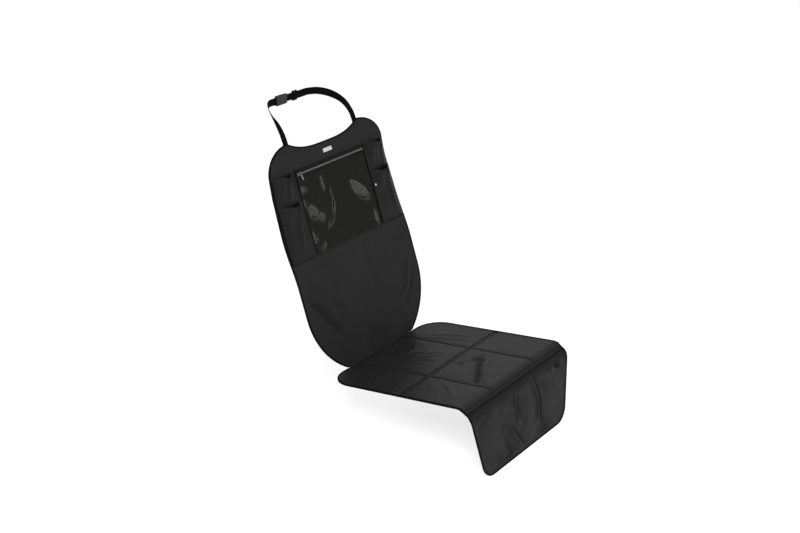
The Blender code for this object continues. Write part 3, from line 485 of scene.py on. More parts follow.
PLASTIC = Finish("black_plastic", (0.0120, 0.0120, 0.0120), 0.42, 0.0009, 0.00003, specular=0.4)
LABEL = Finish("white_label", (0.86, 0.86, 0.85), 0.65, 0.0004, 0.00005, 0.03, weave=Weave.RIB,
               specular=0.3)
CAP = Finish("white_plastic", (0.86, 0.86, 0.86), 0.35, 0.0012, 0.00001, 0.02, specular=0.5)
FILM = Finish("clear_film", (0.018, 0.018, 0.016), 0.10, 0.0300, 0.0000010, 0.0, specular=0.35, alpha=0.45)


class Materials:
    """Builds each finish once, as a procedural material."""

    BUMP_STRENGTH = 0.6
    UNEVEN_SCALE = 14.0
    DARKEST = 0.15
    ROUGHEST = 0.95
    DOT_SHARE = 0.55

    def __init__(self) -> None:
        self._made: dict[str, bpy.types.Material] = {}

    def get(self, finish: Finish) -> bpy.types.Material:
        """Return the material of a finish, made when first asked for."""
        if finish.name not in self._made:
            self._made[finish.name] = self._build(finish)
        return self._made[finish.name]

    def _build(self, finish: Finish) -> bpy.types.Material:
        made = bpy.data.materials.new(finish.name)
        made.use_nodes = True
        tree = made.node_tree
        shader = tree.nodes["Principled BSDF"]
        for name, value in (("Roughness", finish.roughness), ("Metallic", finish.metallic),
                            ("Alpha", finish.alpha), ("Specular IOR Level", finish.specular)):
            shader.inputs[name].default_value = value
        coords = tree.nodes.new("ShaderNodeTexCoord")
        height = self._height(tree, finish, coords.outputs["UV" if finish.weave else "Object"])
        self._colour(tree, finish, coords.outputs["Object"], height, shader)
        bump = tree.nodes.new("ShaderNodeBump")
        bump.inputs["Strength"].default_value = self.BUMP_STRENGTH
        bump.inputs["Distance"].default_value = finish.depth
        tree.links.new(height, bump.inputs["Height"])
        tree.links.new(bump.outputs["Normal"], shader.inputs["Normal"])
        return made

    @staticmethod
    def _noise(tree: bpy.types.NodeTree, scale: float, detail: float, place) -> bpy.types.NodeSocket:
        """Add a Noise Texture node and return its value."""
        noise = tree.nodes.new("ShaderNodeTexNoise")
        noise.inputs["Scale"].default_value = scale
        noise.inputs["Detail"].default_value = detail
        tree.links.new(place, noise.inputs["Vector"])
        return noise.outputs["Fac"]

    @staticmethod
    def math(tree: bpy.types.NodeTree, operation: str, first, second=None) -> bpy.types.NodeSocket:
        """Add a Math node and return its output."""
        node = tree.nodes.new("ShaderNodeMath")
        node.operation = operation
        for socket, value in zip(node.inputs, (first, second)):
            if isinstance(value, (int, float)):
                socket.default_value = value
            elif value is not None:
                tree.links.new(value, socket)
        return node.outputs[0]

    def _height(self, tree: bpy.types.NodeTree, finish: Finish, flat) -> bpy.types.NodeSocket:
        """Surface relief: yarns, ribs or dots on cloth, fine grain elsewhere."""
        if finish.weave is None:
            return self._noise(tree, 1 / finish.pitch, 3, flat)
        split = tree.nodes.new("ShaderNodeSeparateXYZ")
        tree.links.new(flat, split.inputs[0])
        turns = math.pi / finish.pitch
        across = self.math(tree, "MULTIPLY", split.outputs[0], turns)
        along = self.math(tree, "MULTIPLY", split.outputs[1], turns)
        if finish.weave is Weave.RIB:
            return self.math(tree, "ABSOLUTE", self.math(tree, "SINE", along))
        if finish.weave is Weave.WEBBING:
            slant = self.math(tree, "ADD", along, self.math(tree, "PINGPONG", across, math.pi * 2))
            return self.math(tree, "ABSOLUTE", self.math(tree, "SINE", slant))
        warp = self.math(tree, "ABSOLUTE", self.math(tree, "SINE", across))
        weft = self.math(tree, "ABSOLUTE", self.math(tree, "SINE", along))
        if finish.weave is Weave.DOTS:
            both = self.math(tree, "MULTIPLY", warp, weft)
            return self.math(tree, "SMOOTH_MAX", self.math(tree, "SUBTRACT", both, self.DOT_SHARE), 0.0)
        checker = tree.nodes.new("ShaderNodeTexChecker")
        checker.inputs["Scale"].default_value = 1 / finish.pitch
        tree.links.new(flat, checker.inputs["Vector"])
        mix = tree.nodes.new("ShaderNodeMix")
        tree.links.new(checker.outputs["Fac"], mix.inputs["Factor"])
        tree.links.new(warp, mix.inputs["A"])
        tree.links.new(weft, mix.inputs["B"])
        return mix.outputs["Result"]

    def _colour(self, tree: bpy.types.NodeTree, finish: Finish, place, height, shader) -> None:
        """Base colour and roughness: slow unevenness, painted shade in the hollows between yarns, and the
        mesh's painted shade.
        """
        noise = self._noise(tree, self.UNEVEN_SCALE, 4, place)
        swing = self.math(tree, "MULTIPLY", noise, 0.7)
        # Painted shade: the colour follows the relief, darker in the hollows between yarns.
        both = self.math(tree, "ADD", swing, self.math(tree, "MULTIPLY", height, 0.3))
        ramp = tree.nodes.new("ShaderNodeValToRGB")
        for element, position, sign in zip(ramp.color_ramp.elements, (0.25, 0.75), (-1, 1)):
            element.position = position
            element.color = (*(min(1.0, c * (1 + sign * finish.variation)) for c in finish.colour), 1)
        tree.links.new(both, ramp.inputs["Fac"])
        # Painted shade: a per-point attribute darkens the base colour towards DARKEST of it and makes it
        # rougher.
        dark = tree.nodes.new("ShaderNodeAttribute")
        dark.attribute_name = "painted_shade"
        mix = tree.nodes.new("ShaderNodeMix")
        mix.data_type = "RGBA"
        mix.inputs[7].default_value = (*(self.DARKEST * c for c in finish.colour), 1)
        tree.links.new(dark.outputs["Fac"], mix.inputs[0])
        tree.links.new(ramp.outputs["Color"], mix.inputs[6])
        tree.links.new(mix.outputs[2], shader.inputs["Base Color"])
        rough = self.math(tree, "MULTIPLY", dark.outputs["Fac"], self.ROUGHEST - finish.roughness)
        tree.links.new(self.math(tree, "ADD", rough, finish.roughness), shader.inputs["Roughness"])


MATERIALS = Materials()


@dataclass
class Shape:
    """Points, faces, flat coordinates and painted shade of one mesh."""

    points: Array
    faces: list[tuple[int, ...]]
    flat: Array
    painted_shade: Array | None = None


def linked(name: str, data: bpy.types.ID) -> bpy.types.Object:
    """Link a new object to the scene."""
    made = bpy.data.objects.new(name, data)
    bpy.context.collection.objects.link(made)
    return made


def placed(name: str, mesh: bpy.types.Mesh, body: str, node: str = "") -> bpy.types.Object:
    """Link a piece, say what it rides on and hide the CAD node that it stands for."""
    made = linked(name, mesh)
    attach(made, body)
    if node:
        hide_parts(node)
    return made


def make_object(name: str, node: str, shape: Shape, finish: Finish, body: str = BODY,
                sharp: float = 50.0) -> bpy.types.Object:
    """Make a piece from a shape.

    Args:
        name: Object name.
        node: CAD node that the piece stands for.
        shape: Points, faces, flat coordinates and painted shade.
        finish: Surface finish.
        body: Body that carries the piece.
        sharp: Angle in degrees above which an edge stays sharp.

    Returns:
        The new object.
    """
    mesh = bpy.data.meshes.new(name)
    mesh.from_pydata(shape.points.tolist(), [], shape.faces)
    mesh.update()
    layer = mesh.uv_layers.new(name="flat")
    corners = np.zeros(len(mesh.loops), dtype=np.int32)
    mesh.loops.foreach_get("vertex_index", corners)
    layer.data.foreach_set("uv", shape.flat[corners].astype(np.float32).ravel())
    work = bmesh.new()
    work.from_mesh(mesh)
    bmesh.ops.recalc_face_normals(work, faces=work.faces)
    work.to_mesh(mesh)
    work.free()
    # Painted shade, kept per point for the materials to darken the colour.
    if shape.painted_shade is not None:
        dark = mesh.attributes.new("painted_shade", "FLOAT", "POINT")
        dark.data.foreach_set("value", shape.painted_shade.astype(np.float32))
    mesh.shade_smooth()
    mesh.set_sharp_from_angle(angle=math.radians(sharp))
    mesh.materials.append(MATERIALS.get(finish))
    return placed(name, mesh, body, node)


def slab(top: Array, bottom: Array, flat: Array) -> Shape:
    """A closed sheet between two grids of points of shape (rows, columns, 3)."""
    rows, columns = top.shape[:2]
    index = np.arange(rows * columns).reshape(rows, columns)
    quads = np.stack([index[:-1, :-1], index[:-1, 1:], index[1:, 1:], index[1:, :-1]], axis=-1)
    total = rows * columns
    faces = [tuple(q) for q in quads.reshape(-1, 4).tolist()]
    faces += [tuple(i + total for i in reversed(q)) for q in faces]
    rim = np.concatenate([index[0, :], index[1:, -1], index[-1, -2::-1], index[-2:0:-1, 0]]).tolist()
    faces += [(a, a + total, b + total, b) for a, b in zip(rim, rim[1:] + rim[:1])]
    points = np.vstack([top.reshape(-1, 3), bottom.reshape(-1, 3)])
    return Shape(points, faces, np.vstack([flat.reshape(-1, 2)] * 2))


def sweep(sections: Array, flat: Array) -> Shape:
    """Skin sections of shape (count, around, 3), capped at both ends."""
    count, around = sections.shape[:2]
    index = np.arange(count * around).reshape(count, around)
    here, ahead = index[:-1], index[1:]
    quads = np.stack([here, np.roll(here, -1, axis=1), np.roll(ahead, -1, axis=1), ahead], axis=-1)
    faces = [tuple(q) for q in quads.reshape(-1, 4).tolist()]
    faces += [tuple(index[0].tolist()), tuple(index[-1, ::-1].tolist())]
    return Shape(sections.reshape(-1, 3), faces, flat.reshape(-1, 2))


def strip(rings: Sequence[Array], across: Sequence[float], run: Array) -> Shape:
    """Skin lines that run side by side along a piece.

    Args:
        rings: One line of points for each place round the section.
        across: Flat coordinate of each line round the section.
        run: Flat coordinate of each point along the lines.

    Returns:
        The closed shape.
    """
    flats = [np.stack([np.full_like(run, value), run], axis=-1) for value in across]
    return sweep(np.stack(rings, axis=1), np.stack(flats, axis=1))


def filled(outline: Array, step: float, seed: int) -> tuple[Array, list[tuple[int, ...]], list[int]]:
    """Fill an outline with a fine even net.

    Args:
        outline: Closed outline, without its first point repeated.
        step: Spacing of the net.
        seed: Seed of the small shifts that keep the net from lining up.

    Returns:
        Points, faces and the numbers of the outline's points.
    """
    low, high = outline.min(axis=0), outline.max(axis=0)
    xs, ys = np.arange(low[0], high[0], step), np.arange(low[1], high[1], step * 0.866)
    grid = np.array([(x + (row % 2) * step / 2, y) for row, y in enumerate(ys) for x in xs])
    draw = np.random.default_rng(seed)
    grid += draw.uniform(-0.08, 0.08, grid.shape) * step
    ahead = np.roll(outline, -1, axis=0)
    inside = np.zeros(len(grid), dtype=bool)
    nearest = np.full(len(grid), np.inf)
    for (ax, ay), (bx, by) in zip(outline, ahead):
        crossing = (ay > grid[:, 1]) != (by > grid[:, 1])
        at = ax + (grid[:, 1] - ay) / (by - ay if by != ay else 1e-12) * (bx - ax)
        inside ^= crossing & (grid[:, 0] < at)
        nearest = np.minimum(nearest, (grid[:, 0] - ax) ** 2 + (grid[:, 1] - ay) ** 2)
    kept = grid[inside & (nearest > (0.62 * step) ** 2)]
    every = np.vstack([outline, kept])
    count = len(outline)
    edges = [(i, (i + 1) % count) for i in range(count)]
    net = delaunay_2d_cdt([Vector(p) for p in every.tolist()], edges, [], 1, 1e-7)
    points, faces, source = net[0], net[2], net[3]
    place = {old: new for new, olds in enumerate(source) for old in olds}
    rim = [place[i] for i in range(count)]
    return np.array([tuple(p) for p in points]), [tuple(f) for f in faces], rim


def thick(points: Array, faces: list[tuple[int, ...]], rim: list[int], top: Array,
          bottom: Array) -> Shape:
    """A closed sheet over a filled outline, between two sets of lifted points."""
    total = len(points)
    both = list(faces) + [tuple(i + total for i in reversed(f)) for f in faces]
    both += [(a, b, b + total, a + total) for a, b in zip(rim, rim[1:] + rim[:1])]
    return Shape(np.vstack([top, bottom]), both, np.vstack([points, points]))


class Stitches:
    """Rows of machine stitches, placed by one Geometry Nodes group and then made real."""

    PITCH = 0.0032
    LENGTH = 0.0023
    RADIUS = 0.00022

    def __init__(self) -> None:
        self._group = self._build_group()

    def _build_group(self) -> bpy.types.NodeTree:
        """Cylinders at an even pitch along every edge, turned along it."""
        group = bpy.data.node_groups.new("stitch_rows", "GeometryNodeTree")
        for way in ("INPUT", "OUTPUT"):
            group.interface.new_socket("Geometry", in_out=way, socket_type="NodeSocketGeometry")
        kinds = {"entry": "NodeGroupInput", "leave": "NodeGroupOutput", "curve": "GeometryNodeMeshToCurve",
                 "resample": "GeometryNodeResampleCurve", "tangent": "GeometryNodeInputTangent",
                 "align": "FunctionNodeAlignRotationToVector", "stitch": "GeometryNodeMeshCylinder",
                 "instance": "GeometryNodeInstanceOnPoints", "real": "GeometryNodeRealizeInstances",
                 "paint": "GeometryNodeSetMaterial"}
        nodes = {name: group.nodes.new(kind) for name, kind in kinds.items()}
        nodes["resample"].mode = "LENGTH"
        nodes["align"].axis = "Z"
        for name, socket, value in (
                ("resample", "Length", self.PITCH), ("stitch", "Vertices", 6),
                ("stitch", "Side Segments", 2), ("stitch", "Radius", self.RADIUS),
                ("stitch", "Depth", self.LENGTH), ("paint", "Material", MATERIALS.get(THREAD))):
            nodes[name].inputs[socket].default_value = value
        for start, out, end, into in (
                ("entry", 0, "curve", "Mesh"), ("curve", 0, "resample", "Curve"),
                ("tangent", 0, "align", "Vector"), ("resample", 0, "instance", "Points"),
                ("stitch", "Mesh", "instance", "Instance"), ("align", 0, "instance", "Rotation"),
                ("instance", 0, "real", 0), ("real", 0, "paint", "Geometry"), ("paint", 0, "leave", 0)):
            group.links.new(nodes[start].outputs[out], nodes[end].inputs[into])
        return group

    def sew(self, name: str, lines: list[Array]) -> None:
        """Sew rows of stitches along lines of row-frame points, as one piece."""
        points = np.vstack(lines)
        edges, start = [], 0
        for line in lines:
            edges += [(start + i, start + i + 1) for i in range(len(line) - 1)]
            start += len(line)
        mesh = bpy.data.meshes.new(name + "_path")
        mesh.from_pydata(points.tolist(), edges, [])
        path = linked(name + "_path", mesh)
        path.modifiers.new("stitches", "NODES").node_group = self._group
        bpy.context.view_layer.update()
        seen = path.evaluated_get(bpy.context.evaluated_depsgraph_get())
        done = bpy.data.meshes.new_from_object(seen)
        bpy.data.objects.remove(path, do_unlink=True)
        done.name = name
        placed(name, done, BODY)


class EdgeTape:
    """A folded tape sewn over the edge of a panel, slightly uneven as sewn tape is."""

    STEP = 0.0035
    PUCKER = 0.00010
    RING = 0.0009
    STITCH_SHARE = 0.68
    STITCH_LIFT = 0.00005

    def __init__(self, panel: str, outline: Array, place: Callable, levels: Callable, seed: int) -> None:
        self.panel = panel
        self.outline = outline
        self.place = place
        self.levels = levels
        self.seed = seed

    def _inside(self, width: float, level: Array) -> Array:
        """Row-frame points a distance in from the edge, at a level."""
        return self.place(*(self.outline + inward(self.outline) * width).T, level)

    def build(self, stitches: Stitches) -> None:
        """Make the tape round both faces of the edge, and a row of stitches on each."""
        top, bottom = self.levels(*self.outline.T)
        over = top + LAYERS.gap + BINDING_EASE
        under = bottom - LAYERS.gap - BINDING_EASE
        outer = -LAYERS.gap - BINDING_WALL
        run = np.arange(len(self.outline)) * self.STEP
        uneven = 0.7 + 0.3 * ripple(run, run * 0, 0.05, self.seed)
        wave = self.PUCKER * np.sin(run / PUCKER_PITCH * 2 * math.pi) * uneven
        cover, wall = TAPE_SHOWN, BINDING_WALL
        profile = [
            (cover, over), (cover - 0.0002, over + wall * 0.8 + wave * 0.3),
            (cover * 0.75, over + wall + wave), (cover * 0.45, over + wall * 0.9),
            (cover * 0.12, over + wall + wave), (outer * 0.55, over + wall * 0.75),
            (outer * 0.95, over), (outer, (over + under) / 2), (outer * 0.95, under),
            (outer * 0.55, under - wall * 0.75), (cover * 0.12, under - wall - wave),
            (cover * 0.45, under - wall * 0.9), (cover * 0.75, under - wall - wave),
            (cover - 0.0002, under - wall * 0.8), (cover, under),
            (-LAYERS.gap, under), (-LAYERS.gap, over),
        ]
        rings = [self._inside(width, level) for width, level in profile]
        shape = strip(rings, self.RING * np.arange(len(profile)), run)
        make_object(f"{self.panel}_edge_tape", f"{self.panel}_binding", shape, TAPE)
        rise = LAYERS.gap + BINDING_EASE + wall + self.STITCH_LIFT
        rows = [self._inside(cover * self.STITCH_SHARE, level) for level in (top + rise, bottom - rise)]
        stitches.sew(f"{self.panel}_edge_stitches", rows)


class BackPanel:
    """The back panel: its face and lining, the tape round it and its rows of stitches."""

    NET = 0.0042
    SIZE = (0.490, 0.621)
    FOAM_SIZE = (0.480, 0.611)
    FOAM_INSET = 0.005
    DEEPEST = -0.0014
    STITCH_LIFT = 0.00012
    FOLDS = (
        (-0.0030, ((-0.221, 0.222), (-0.180, 0.170), (-0.128, 0.088)), 0.010),
        (0.0040, ((-0.180, 0.262), (-0.135, 0.205), (-0.075, 0.150)), 0.012),
        (0.0042, ((-0.205, 0.236), (-0.160, 0.180), (-0.112, 0.100)), 0.009),
        (-0.0016, ((0.226, 0.190), (0.190, 0.120), (0.135, 0.070)), 0.010),
        (0.0030, ((0.214, 0.200), (0.172, 0.125), (0.120, 0.080)), 0.009),
        (-0.0010, ((-0.05, 0.02), (0.0, 0.055), (0.06, 0.018)), 0.010),
    )

    def __init__(self, stitches: Stitches) -> None:
        self.stitches = stitches
        outline = back_outline(0.005)
        base = respaced(np.array([outline[-1], outline[0]]), 0.005)[1:-1]
        self.closed = np.vstack([outline, base])
        inner = back_outline(EdgeTape.STEP)
        self.taped = inner[(inner[:, 1] > 0.003) | (np.abs(inner[:, 0]) < 0.1)]

    @classmethod
    def folds(cls, x: Array, h: Array) -> Array:
        """Slack folds across the lower corners of the panel."""
        return summed(crease_line, x, h, cls.FOLDS)

    @classmethod
    def relief(cls, x: Array, h: Array) -> Array:
        """How far the visible face swells or creases, never above its pockets and window."""
        edge = np.minimum(back_half_width(h) - np.abs(x), 0.08)
        free = smooth(edge / 0.030)
        low = smooth((WINDOW.bottom - 0.006 - h) / 0.02) * smooth((h - 0.004) / 0.03)
        high = smooth((h - WINDOW.zip_height - 0.016) / 0.012) * smooth((0.60 - h) / 0.01)
        swell = 0.0024 * ripple(x, h, 0.21, 3) + 0.0007 * ripple(x, h, 0.075, 4)
        label = hill(x, h, (0.0, Trim.LABEL_HEIGHT), (0.032, 0.013))
        below = np.maximum(swell + cls.folds(x, h), cls.DEEPEST) * free * low
        above = 0.0009 * ripple(x, h, 0.10, 6) * free * high * (1 - label)
        seam = 0.0006 * np.exp(-((h - WINDOW.bottom + 0.001) / 0.0030) ** 2) * (h < WINDOW.bottom + 0.001)
        return below + above - seam

    @classmethod
    def painted_shade(cls, x: Array, h: Array) -> Array:
        """Painted shade: how dark the cloth is painted inside the pockets and in the hollows of its folds.
        """
        left, right = WINDOW.left - 0.016, WINDOW.right + 0.016
        side = smooth((left - x) / 0.004) + smooth((x - right) / 0.004)
        inside = smooth((WINDOW.upper_mouth - h) / 0.004) * smooth((h - WINDOW.bottom + 0.002) / 0.002)
        hollow = 0.40 * smooth(-cls.folds(x, h) / 0.0020) * smooth((WINDOW.bottom - 0.006 - h) / 0.02)
        return np.maximum(0.9 * side * inside, hollow)

    def build(self) -> None:
        """Make every piece of the back panel."""
        points, faces, rim = filled(self.closed, self.NET, 1)
        x, h = points[:, 0], points[:, 1]
        relief = self.relief(x, h)
        face = thick(points, faces, rim, on_back(x, h, relief), on_back(x, h, relief - CLOTH_SHOWN))
        # Painted shade inside the pockets and in the fold hollows of the lower panel.
        face.painted_shade = np.tile(self.painted_shade(x, h), 2)
        made = make_object("back_face_cloth", "back_panel_face", face, BACK_CLOTH)

        top = -LAYERS.fabric - 2 * LAYERS.gap - LAYERS.back_foam
        self._foam(top + LAYERS.gap)
        pinch = self._pinch(points)
        waves = 0.0005 * np.abs(ripple(x, h, 0.09, 8)) * (1 - pinch / BACK_PINCH)
        lining = thick(points, faces, rim, on_back(x, h, top + pinch),
                       on_back(x, h, top + pinch - LAYERS.lining - waves))
        made = make_object("back_lining_cloth", "back_lining", lining, LINING)

        EdgeTape("back", self.taped, on_back,
                 lambda x, h: (0 * h, 0 * h - LAYERS.back + BACK_PINCH), 11).build(self.stitches)
        self._seams()

    def _foam(self, bottom: float) -> None:
        """The foam sheet between the face and the lining, which follows the face from below."""
        inset = self.closed + inward(np.vstack([self.closed, self.closed[:1]]))[:-1] * self.FOAM_INSET
        points, faces, rim = filled(inset, self.NET * 1.5, 2)
        x, h = points[:, 0], points[:, 1]
        top = self.relief(x, h) - LAYERS.fabric - LAYERS.gap
        low = np.minimum(bottom + self._pinch(points), top - LAYERS.gap)
        shape = thick(points, faces, rim, on_back(x, h, top), on_back(x, h, low))
        made = make_object("back_foam_sheet", "back_padding", shape, FOAM)

    def _pinch(self, points: Array) -> Array:
        """How much thinner the panel is pressed near its whole edge, the neck and hem too."""
        edge = respaced(self.taped, 0.004)
        nearest = np.full(len(points), np.inf)
        for spot in edge:
            nearest = np.minimum(nearest, ((points - spot) ** 2).sum(axis=1))
        return BACK_PINCH * smooth(1 - (np.sqrt(nearest) - 0.002) / EDGE_MARGIN)

    @staticmethod
    def _area(points: Array, faces: list[tuple[int, ...]]) -> float:
        """Flat area of a net of triangles."""
        corners = np.array([f[:3] for f in faces])
        a, b, c = (points[corners[:, i]] for i in range(3))
        ab, ac = b - a, c - a
        cross = ab[:, 0] * ac[:, 1] - ab[:, 1] * ac[:, 0]
        return float(np.abs(cross).sum() / 2)

    def _seams(self) -> None:
        """Stitches under the window and pockets, and beside the crease."""
        lines = []
        for height, margin, count in ((WINDOW.bottom - 0.0025, 0.006, 240),
                                      (WINDOW.bottom - 0.0050, 0.006, 240), (0.012, 0.008, 120)):
            reach = float(back_half_width(height)) - margin
            x = np.linspace(-reach, reach, count)
            lines.append(on_back(x, height, self.relief(x, height + 0 * x) + self.STITCH_LIFT))
        self.stitches.sew("back_panel_stitches", lines)


class SeatPanel:
    """The seat panel and front flap, padded between seams, with wrinkles where the cloth is slack."""

    STEP = 0.0036
    COLUMNS = 141
    SLIT = 0.00004
    FLAP_SCALE = 1.5
    DEEPEST = -0.0019
    SEAM_DEPTH = 0.00150
    STITCH_LIFT = 0.00010
    FOAM_INSET = 0.004
    WRINKLES = (
        (0.0024, ((-0.041, 0.094), (-0.022, 0.145), (0.002, 0.196)), 0.0036),
        (0.0016, ((-0.018, 0.090), (0.004, 0.140), (0.030, 0.185)), 0.0035),
        (0.0013, ((0.012, 0.095), (0.030, 0.140), (0.052, 0.190)), 0.0034),
        (-0.0026, ((0.061, 0.299), (0.020, 0.310), (-0.040, 0.345), (-0.095, 0.375)), 0.0085, 0.12),
        (0.0018, ((0.061, 0.317), (0.020, 0.328), (-0.036, 0.363), (-0.085, 0.391)), 0.0070),
        (0.0020, ((-0.010, 0.082), (0.030, 0.088), (0.066, 0.070)), 0.008),
        (0.0018, ((0.135, 0.045), (0.160, 0.110), (0.178, 0.175)), 0.0055),
        (0.0016, ((0.120, 0.060), (0.135, 0.125), (0.150, 0.200)), 0.0048),
        (0.0014, ((-0.128, 0.060), (-0.150, 0.100), (-0.178, 0.130)), 0.0060),
        (0.0013, ((-0.120, 0.290), (-0.150, 0.335), (-0.190, 0.360)), 0.0065),
    )
    DIPS = (
        (-0.0028, (0.025, 0.050), (0.034, 0.017), 32),
        (-0.0020, (0.045, 0.285), (0.020, 0.010), 10),
        (-0.0014, (0.000, 0.262), (0.013, 0.010), 10),
    )
    FLAP_CREASES = (
        (0.0021, ((-0.033, 0.464), (-0.036, 0.510), (-0.026, 0.560)), 0.0042),
        (-0.0012, ((-0.025, 0.468), (-0.027, 0.512), (-0.017, 0.556)), 0.0046),
        (0.0023, ((0.045, 0.462), (0.062, 0.498), (0.071, 0.531), (0.065, 0.600)), 0.0052),
        (-0.0014, ((0.054, 0.460), (0.073, 0.498), (0.082, 0.535), (0.077, 0.600)), 0.0052),
        (0.0024, ((-0.074, 0.548), (-0.052, 0.582), (-0.018, 0.630)), 0.0056),
        (-0.0016, ((-0.064, 0.546), (-0.042, 0.578), (-0.006, 0.628)), 0.0056),
    )
    FLAP_HILLS = (
        (-0.0018, (0.176, 0.474), (0.015, 0.006), 25),
        (0.0009, (0.150, 0.478), (0.010, 0.005), 40),
        (0.0012, (0.020, 0.555), (0.030, 0.050), 0),
    )

    def __init__(self, stitches: Stitches) -> None:
        self.stitches = stitches

    @classmethod
    def seam_sink(cls, x: Array, s: Array) -> Array:
        """How far the sewn-through seams pull the seat panel's face down."""
        before = smooth((SEAT.rear_fold - s) / 0.010)
        lengthwise = np.abs(np.abs(x) - SEAT.long_seam_x)
        middle = (SEAT.cross_seam + SEAT.cross_seam_front) / 2
        band = np.maximum(0, np.abs(s - middle) - (SEAT.cross_seam_front - SEAT.cross_seam) / 2)
        uneven = 1 + 0.35 * ripple(x, s, 0.025, 17)
        line = np.exp(-(lengthwise / 0.0026) ** 2) + 0.45 * np.exp(-(lengthwise / 0.010) ** 2)
        cross = np.exp(-(band / 0.0028) ** 2) + 0.40 * np.exp(-(band / 0.011) ** 2)
        return cls.SEAM_DEPTH * before * uneven * np.maximum(line, cross)

    @classmethod
    def painted_shade(cls, x: Array, s: Array) -> Array:
        """Painted shade: how dark the cloth is painted in its seams, its fold and the hollows of its
        wrinkles, from 0 to 1. The seam lines stand for the needle line and for the shade in the seam's
        groove.
        """
        before = smooth((SEAT.rear_fold - s) / 0.004)
        line = before * np.exp(-((np.abs(x) - SEAT.long_seam_x) / 0.0015) ** 2)
        for seam, dark, width in ((SEAT.cross_seam, 0.8, 0.0015), (SEAT.cross_seam_front, 0.8, 0.0015),
                                  (SEAT.rear_fold, 0.7, 0.0020), (SEAT.front_fold, 0.7, 0.0020)):
            line = np.maximum(line, dark * np.exp(-((s - seam) / width) ** 2))
        fold = smooth((s - SEAT.rear_fold + 0.004) / 0.004) * smooth((SEAT.front_fold + 0.003 - s) / 0.004)
        hollow = 0.42 * smooth(-cls.wrinkles(x, s) / 0.0019) + 0.40 * smooth(-cls.flap_relief(x, s) / 0.0018)
        return np.maximum(np.maximum(0.9 * line, 0.35 * fold), hollow)

    @classmethod
    def wrinkles(cls, x: Array, s: Array) -> Array:
        """Wrinkles of the seat panel's face."""
        return summed(crease_line, x, s, cls.WRINKLES) + summed(hill, x, s, cls.DIPS)

    @classmethod
    def relief(cls, x: Array, s: Array) -> Array:
        """Padding, wrinkles and puckers of the visible face."""
        edge = seat_half_width(s) - np.abs(x)
        free = smooth(edge / 0.022) * smooth(s / 0.02)
        seat = smooth((SEAT.rear_fold - 0.004 - s) / 0.012)
        swell = 0.0008 * ripple(x, s, 0.13, 21) + 0.00045 * ripple(x, s, 0.050, 22)
        fold_zone = np.exp(-((s - 0.437) / 0.0052) ** 2)
        pucker = 0.00022 * fold_zone * ripple(x, s * 0.4, 0.019, 31)
        lips = 0.0005 * (np.exp(-((s - 0.4245) / 0.0045) ** 2) + np.exp(-((s - 0.4515) / 0.0050) ** 2))
        lips = lips * (0.9 + 0.25 * ripple(x, s, 0.045, 33))
        padded = np.maximum(swell + cls.wrinkles(x, s), cls.DEEPEST) * free * seat
        edged = (pucker + lips) * smooth(edge / 0.012)
        return padded + edged + cls.flap_relief(x, s) - cls.seam_sink(x, s) * smooth(edge / 0.006)

    @classmethod
    def flap_relief(cls, x: Array, s: Array) -> Array:
        """Creases of the hanging flap."""
        edge = np.minimum(seat_half_width(s) - np.abs(x), SEAT.length - s)
        on_flap = smooth((s - 0.452) / 0.012) * smooth(edge / 0.020)
        shape = 0.0013 * ripple(x, s, 0.15, 41) + 0.0004 * ripple(x, s, 0.055, 42)
        shape = shape + summed(crease_line, x, s, cls.FLAP_CREASES) + summed(hill, x, s, cls.FLAP_HILLS)
        return cls.FLAP_SCALE * shape * on_flap

    def _layer(self, start: float, end: float, top: Callable, bottom: Callable, inset: float) -> Shape:
        """One closed layer of cloth between two ends and two levels."""
        rows = seat_rows(start, end, self.STEP)
        seams = np.add.outer((-SEAT.long_seam_x, SEAT.long_seam_x), SEAM_STEPS).ravel() / SEAT.half_width
        share = np.unique(np.concatenate([np.linspace(-1, 1, self.COLUMNS), seams]))
        widths = seat_half_width(rows) - inset
        x = share[None, :] * widths[:, None]
        s = np.broadcast_to(rows[:, None], x.shape)
        shape = slab(on_seat(x, s, top(x, s)), on_seat(x, s, bottom(x, s)), np.stack([x, s], axis=-1))
        # Painted shade of the fold and the wrinkle hollows, and of the seams, where it also stands for the
        # needle line.
        shape.painted_shade = np.tile(self.painted_shade(x, s).ravel(), 2)
        return shape

    def build(self) -> None:
        """Make every piece of the seat panel and flap."""

        def face(x: Array, s: Array) -> Array:
            return lower_top(s) + self.relief(x, s)

        def face_under(x: Array, s: Array) -> Array:
            return face(x, s) - CLOTH_SHOWN

        def foam_top(x: Array, s: Array) -> Array:
            return face(x, s) - LAYERS.fabric - LAYERS.gap

        def foam_under(x: Array, s: Array) -> Array:
            low = LAYERS.fabric + LAYERS.gap - LAYERS.seat + seat_pinch(x, s)
            return np.minimum(low, foam_top(x, s) - LAYERS.gap)

        def backing_under(x: Array, s: Array) -> Array:
            return lower_bottom(s) + seat_pinch(x, s)

        def backing_top(x: Array, s: Array) -> Array:
            return backing_under(x, s) + LAYERS.fabric

        def lining_under(x: Array, s: Array) -> Array:
            return lower_bottom(s) + self.flap_relief(x, s)

        def lining_top(x: Array, s: Array) -> Array:
            return lining_under(x, s) + LAYERS.lining

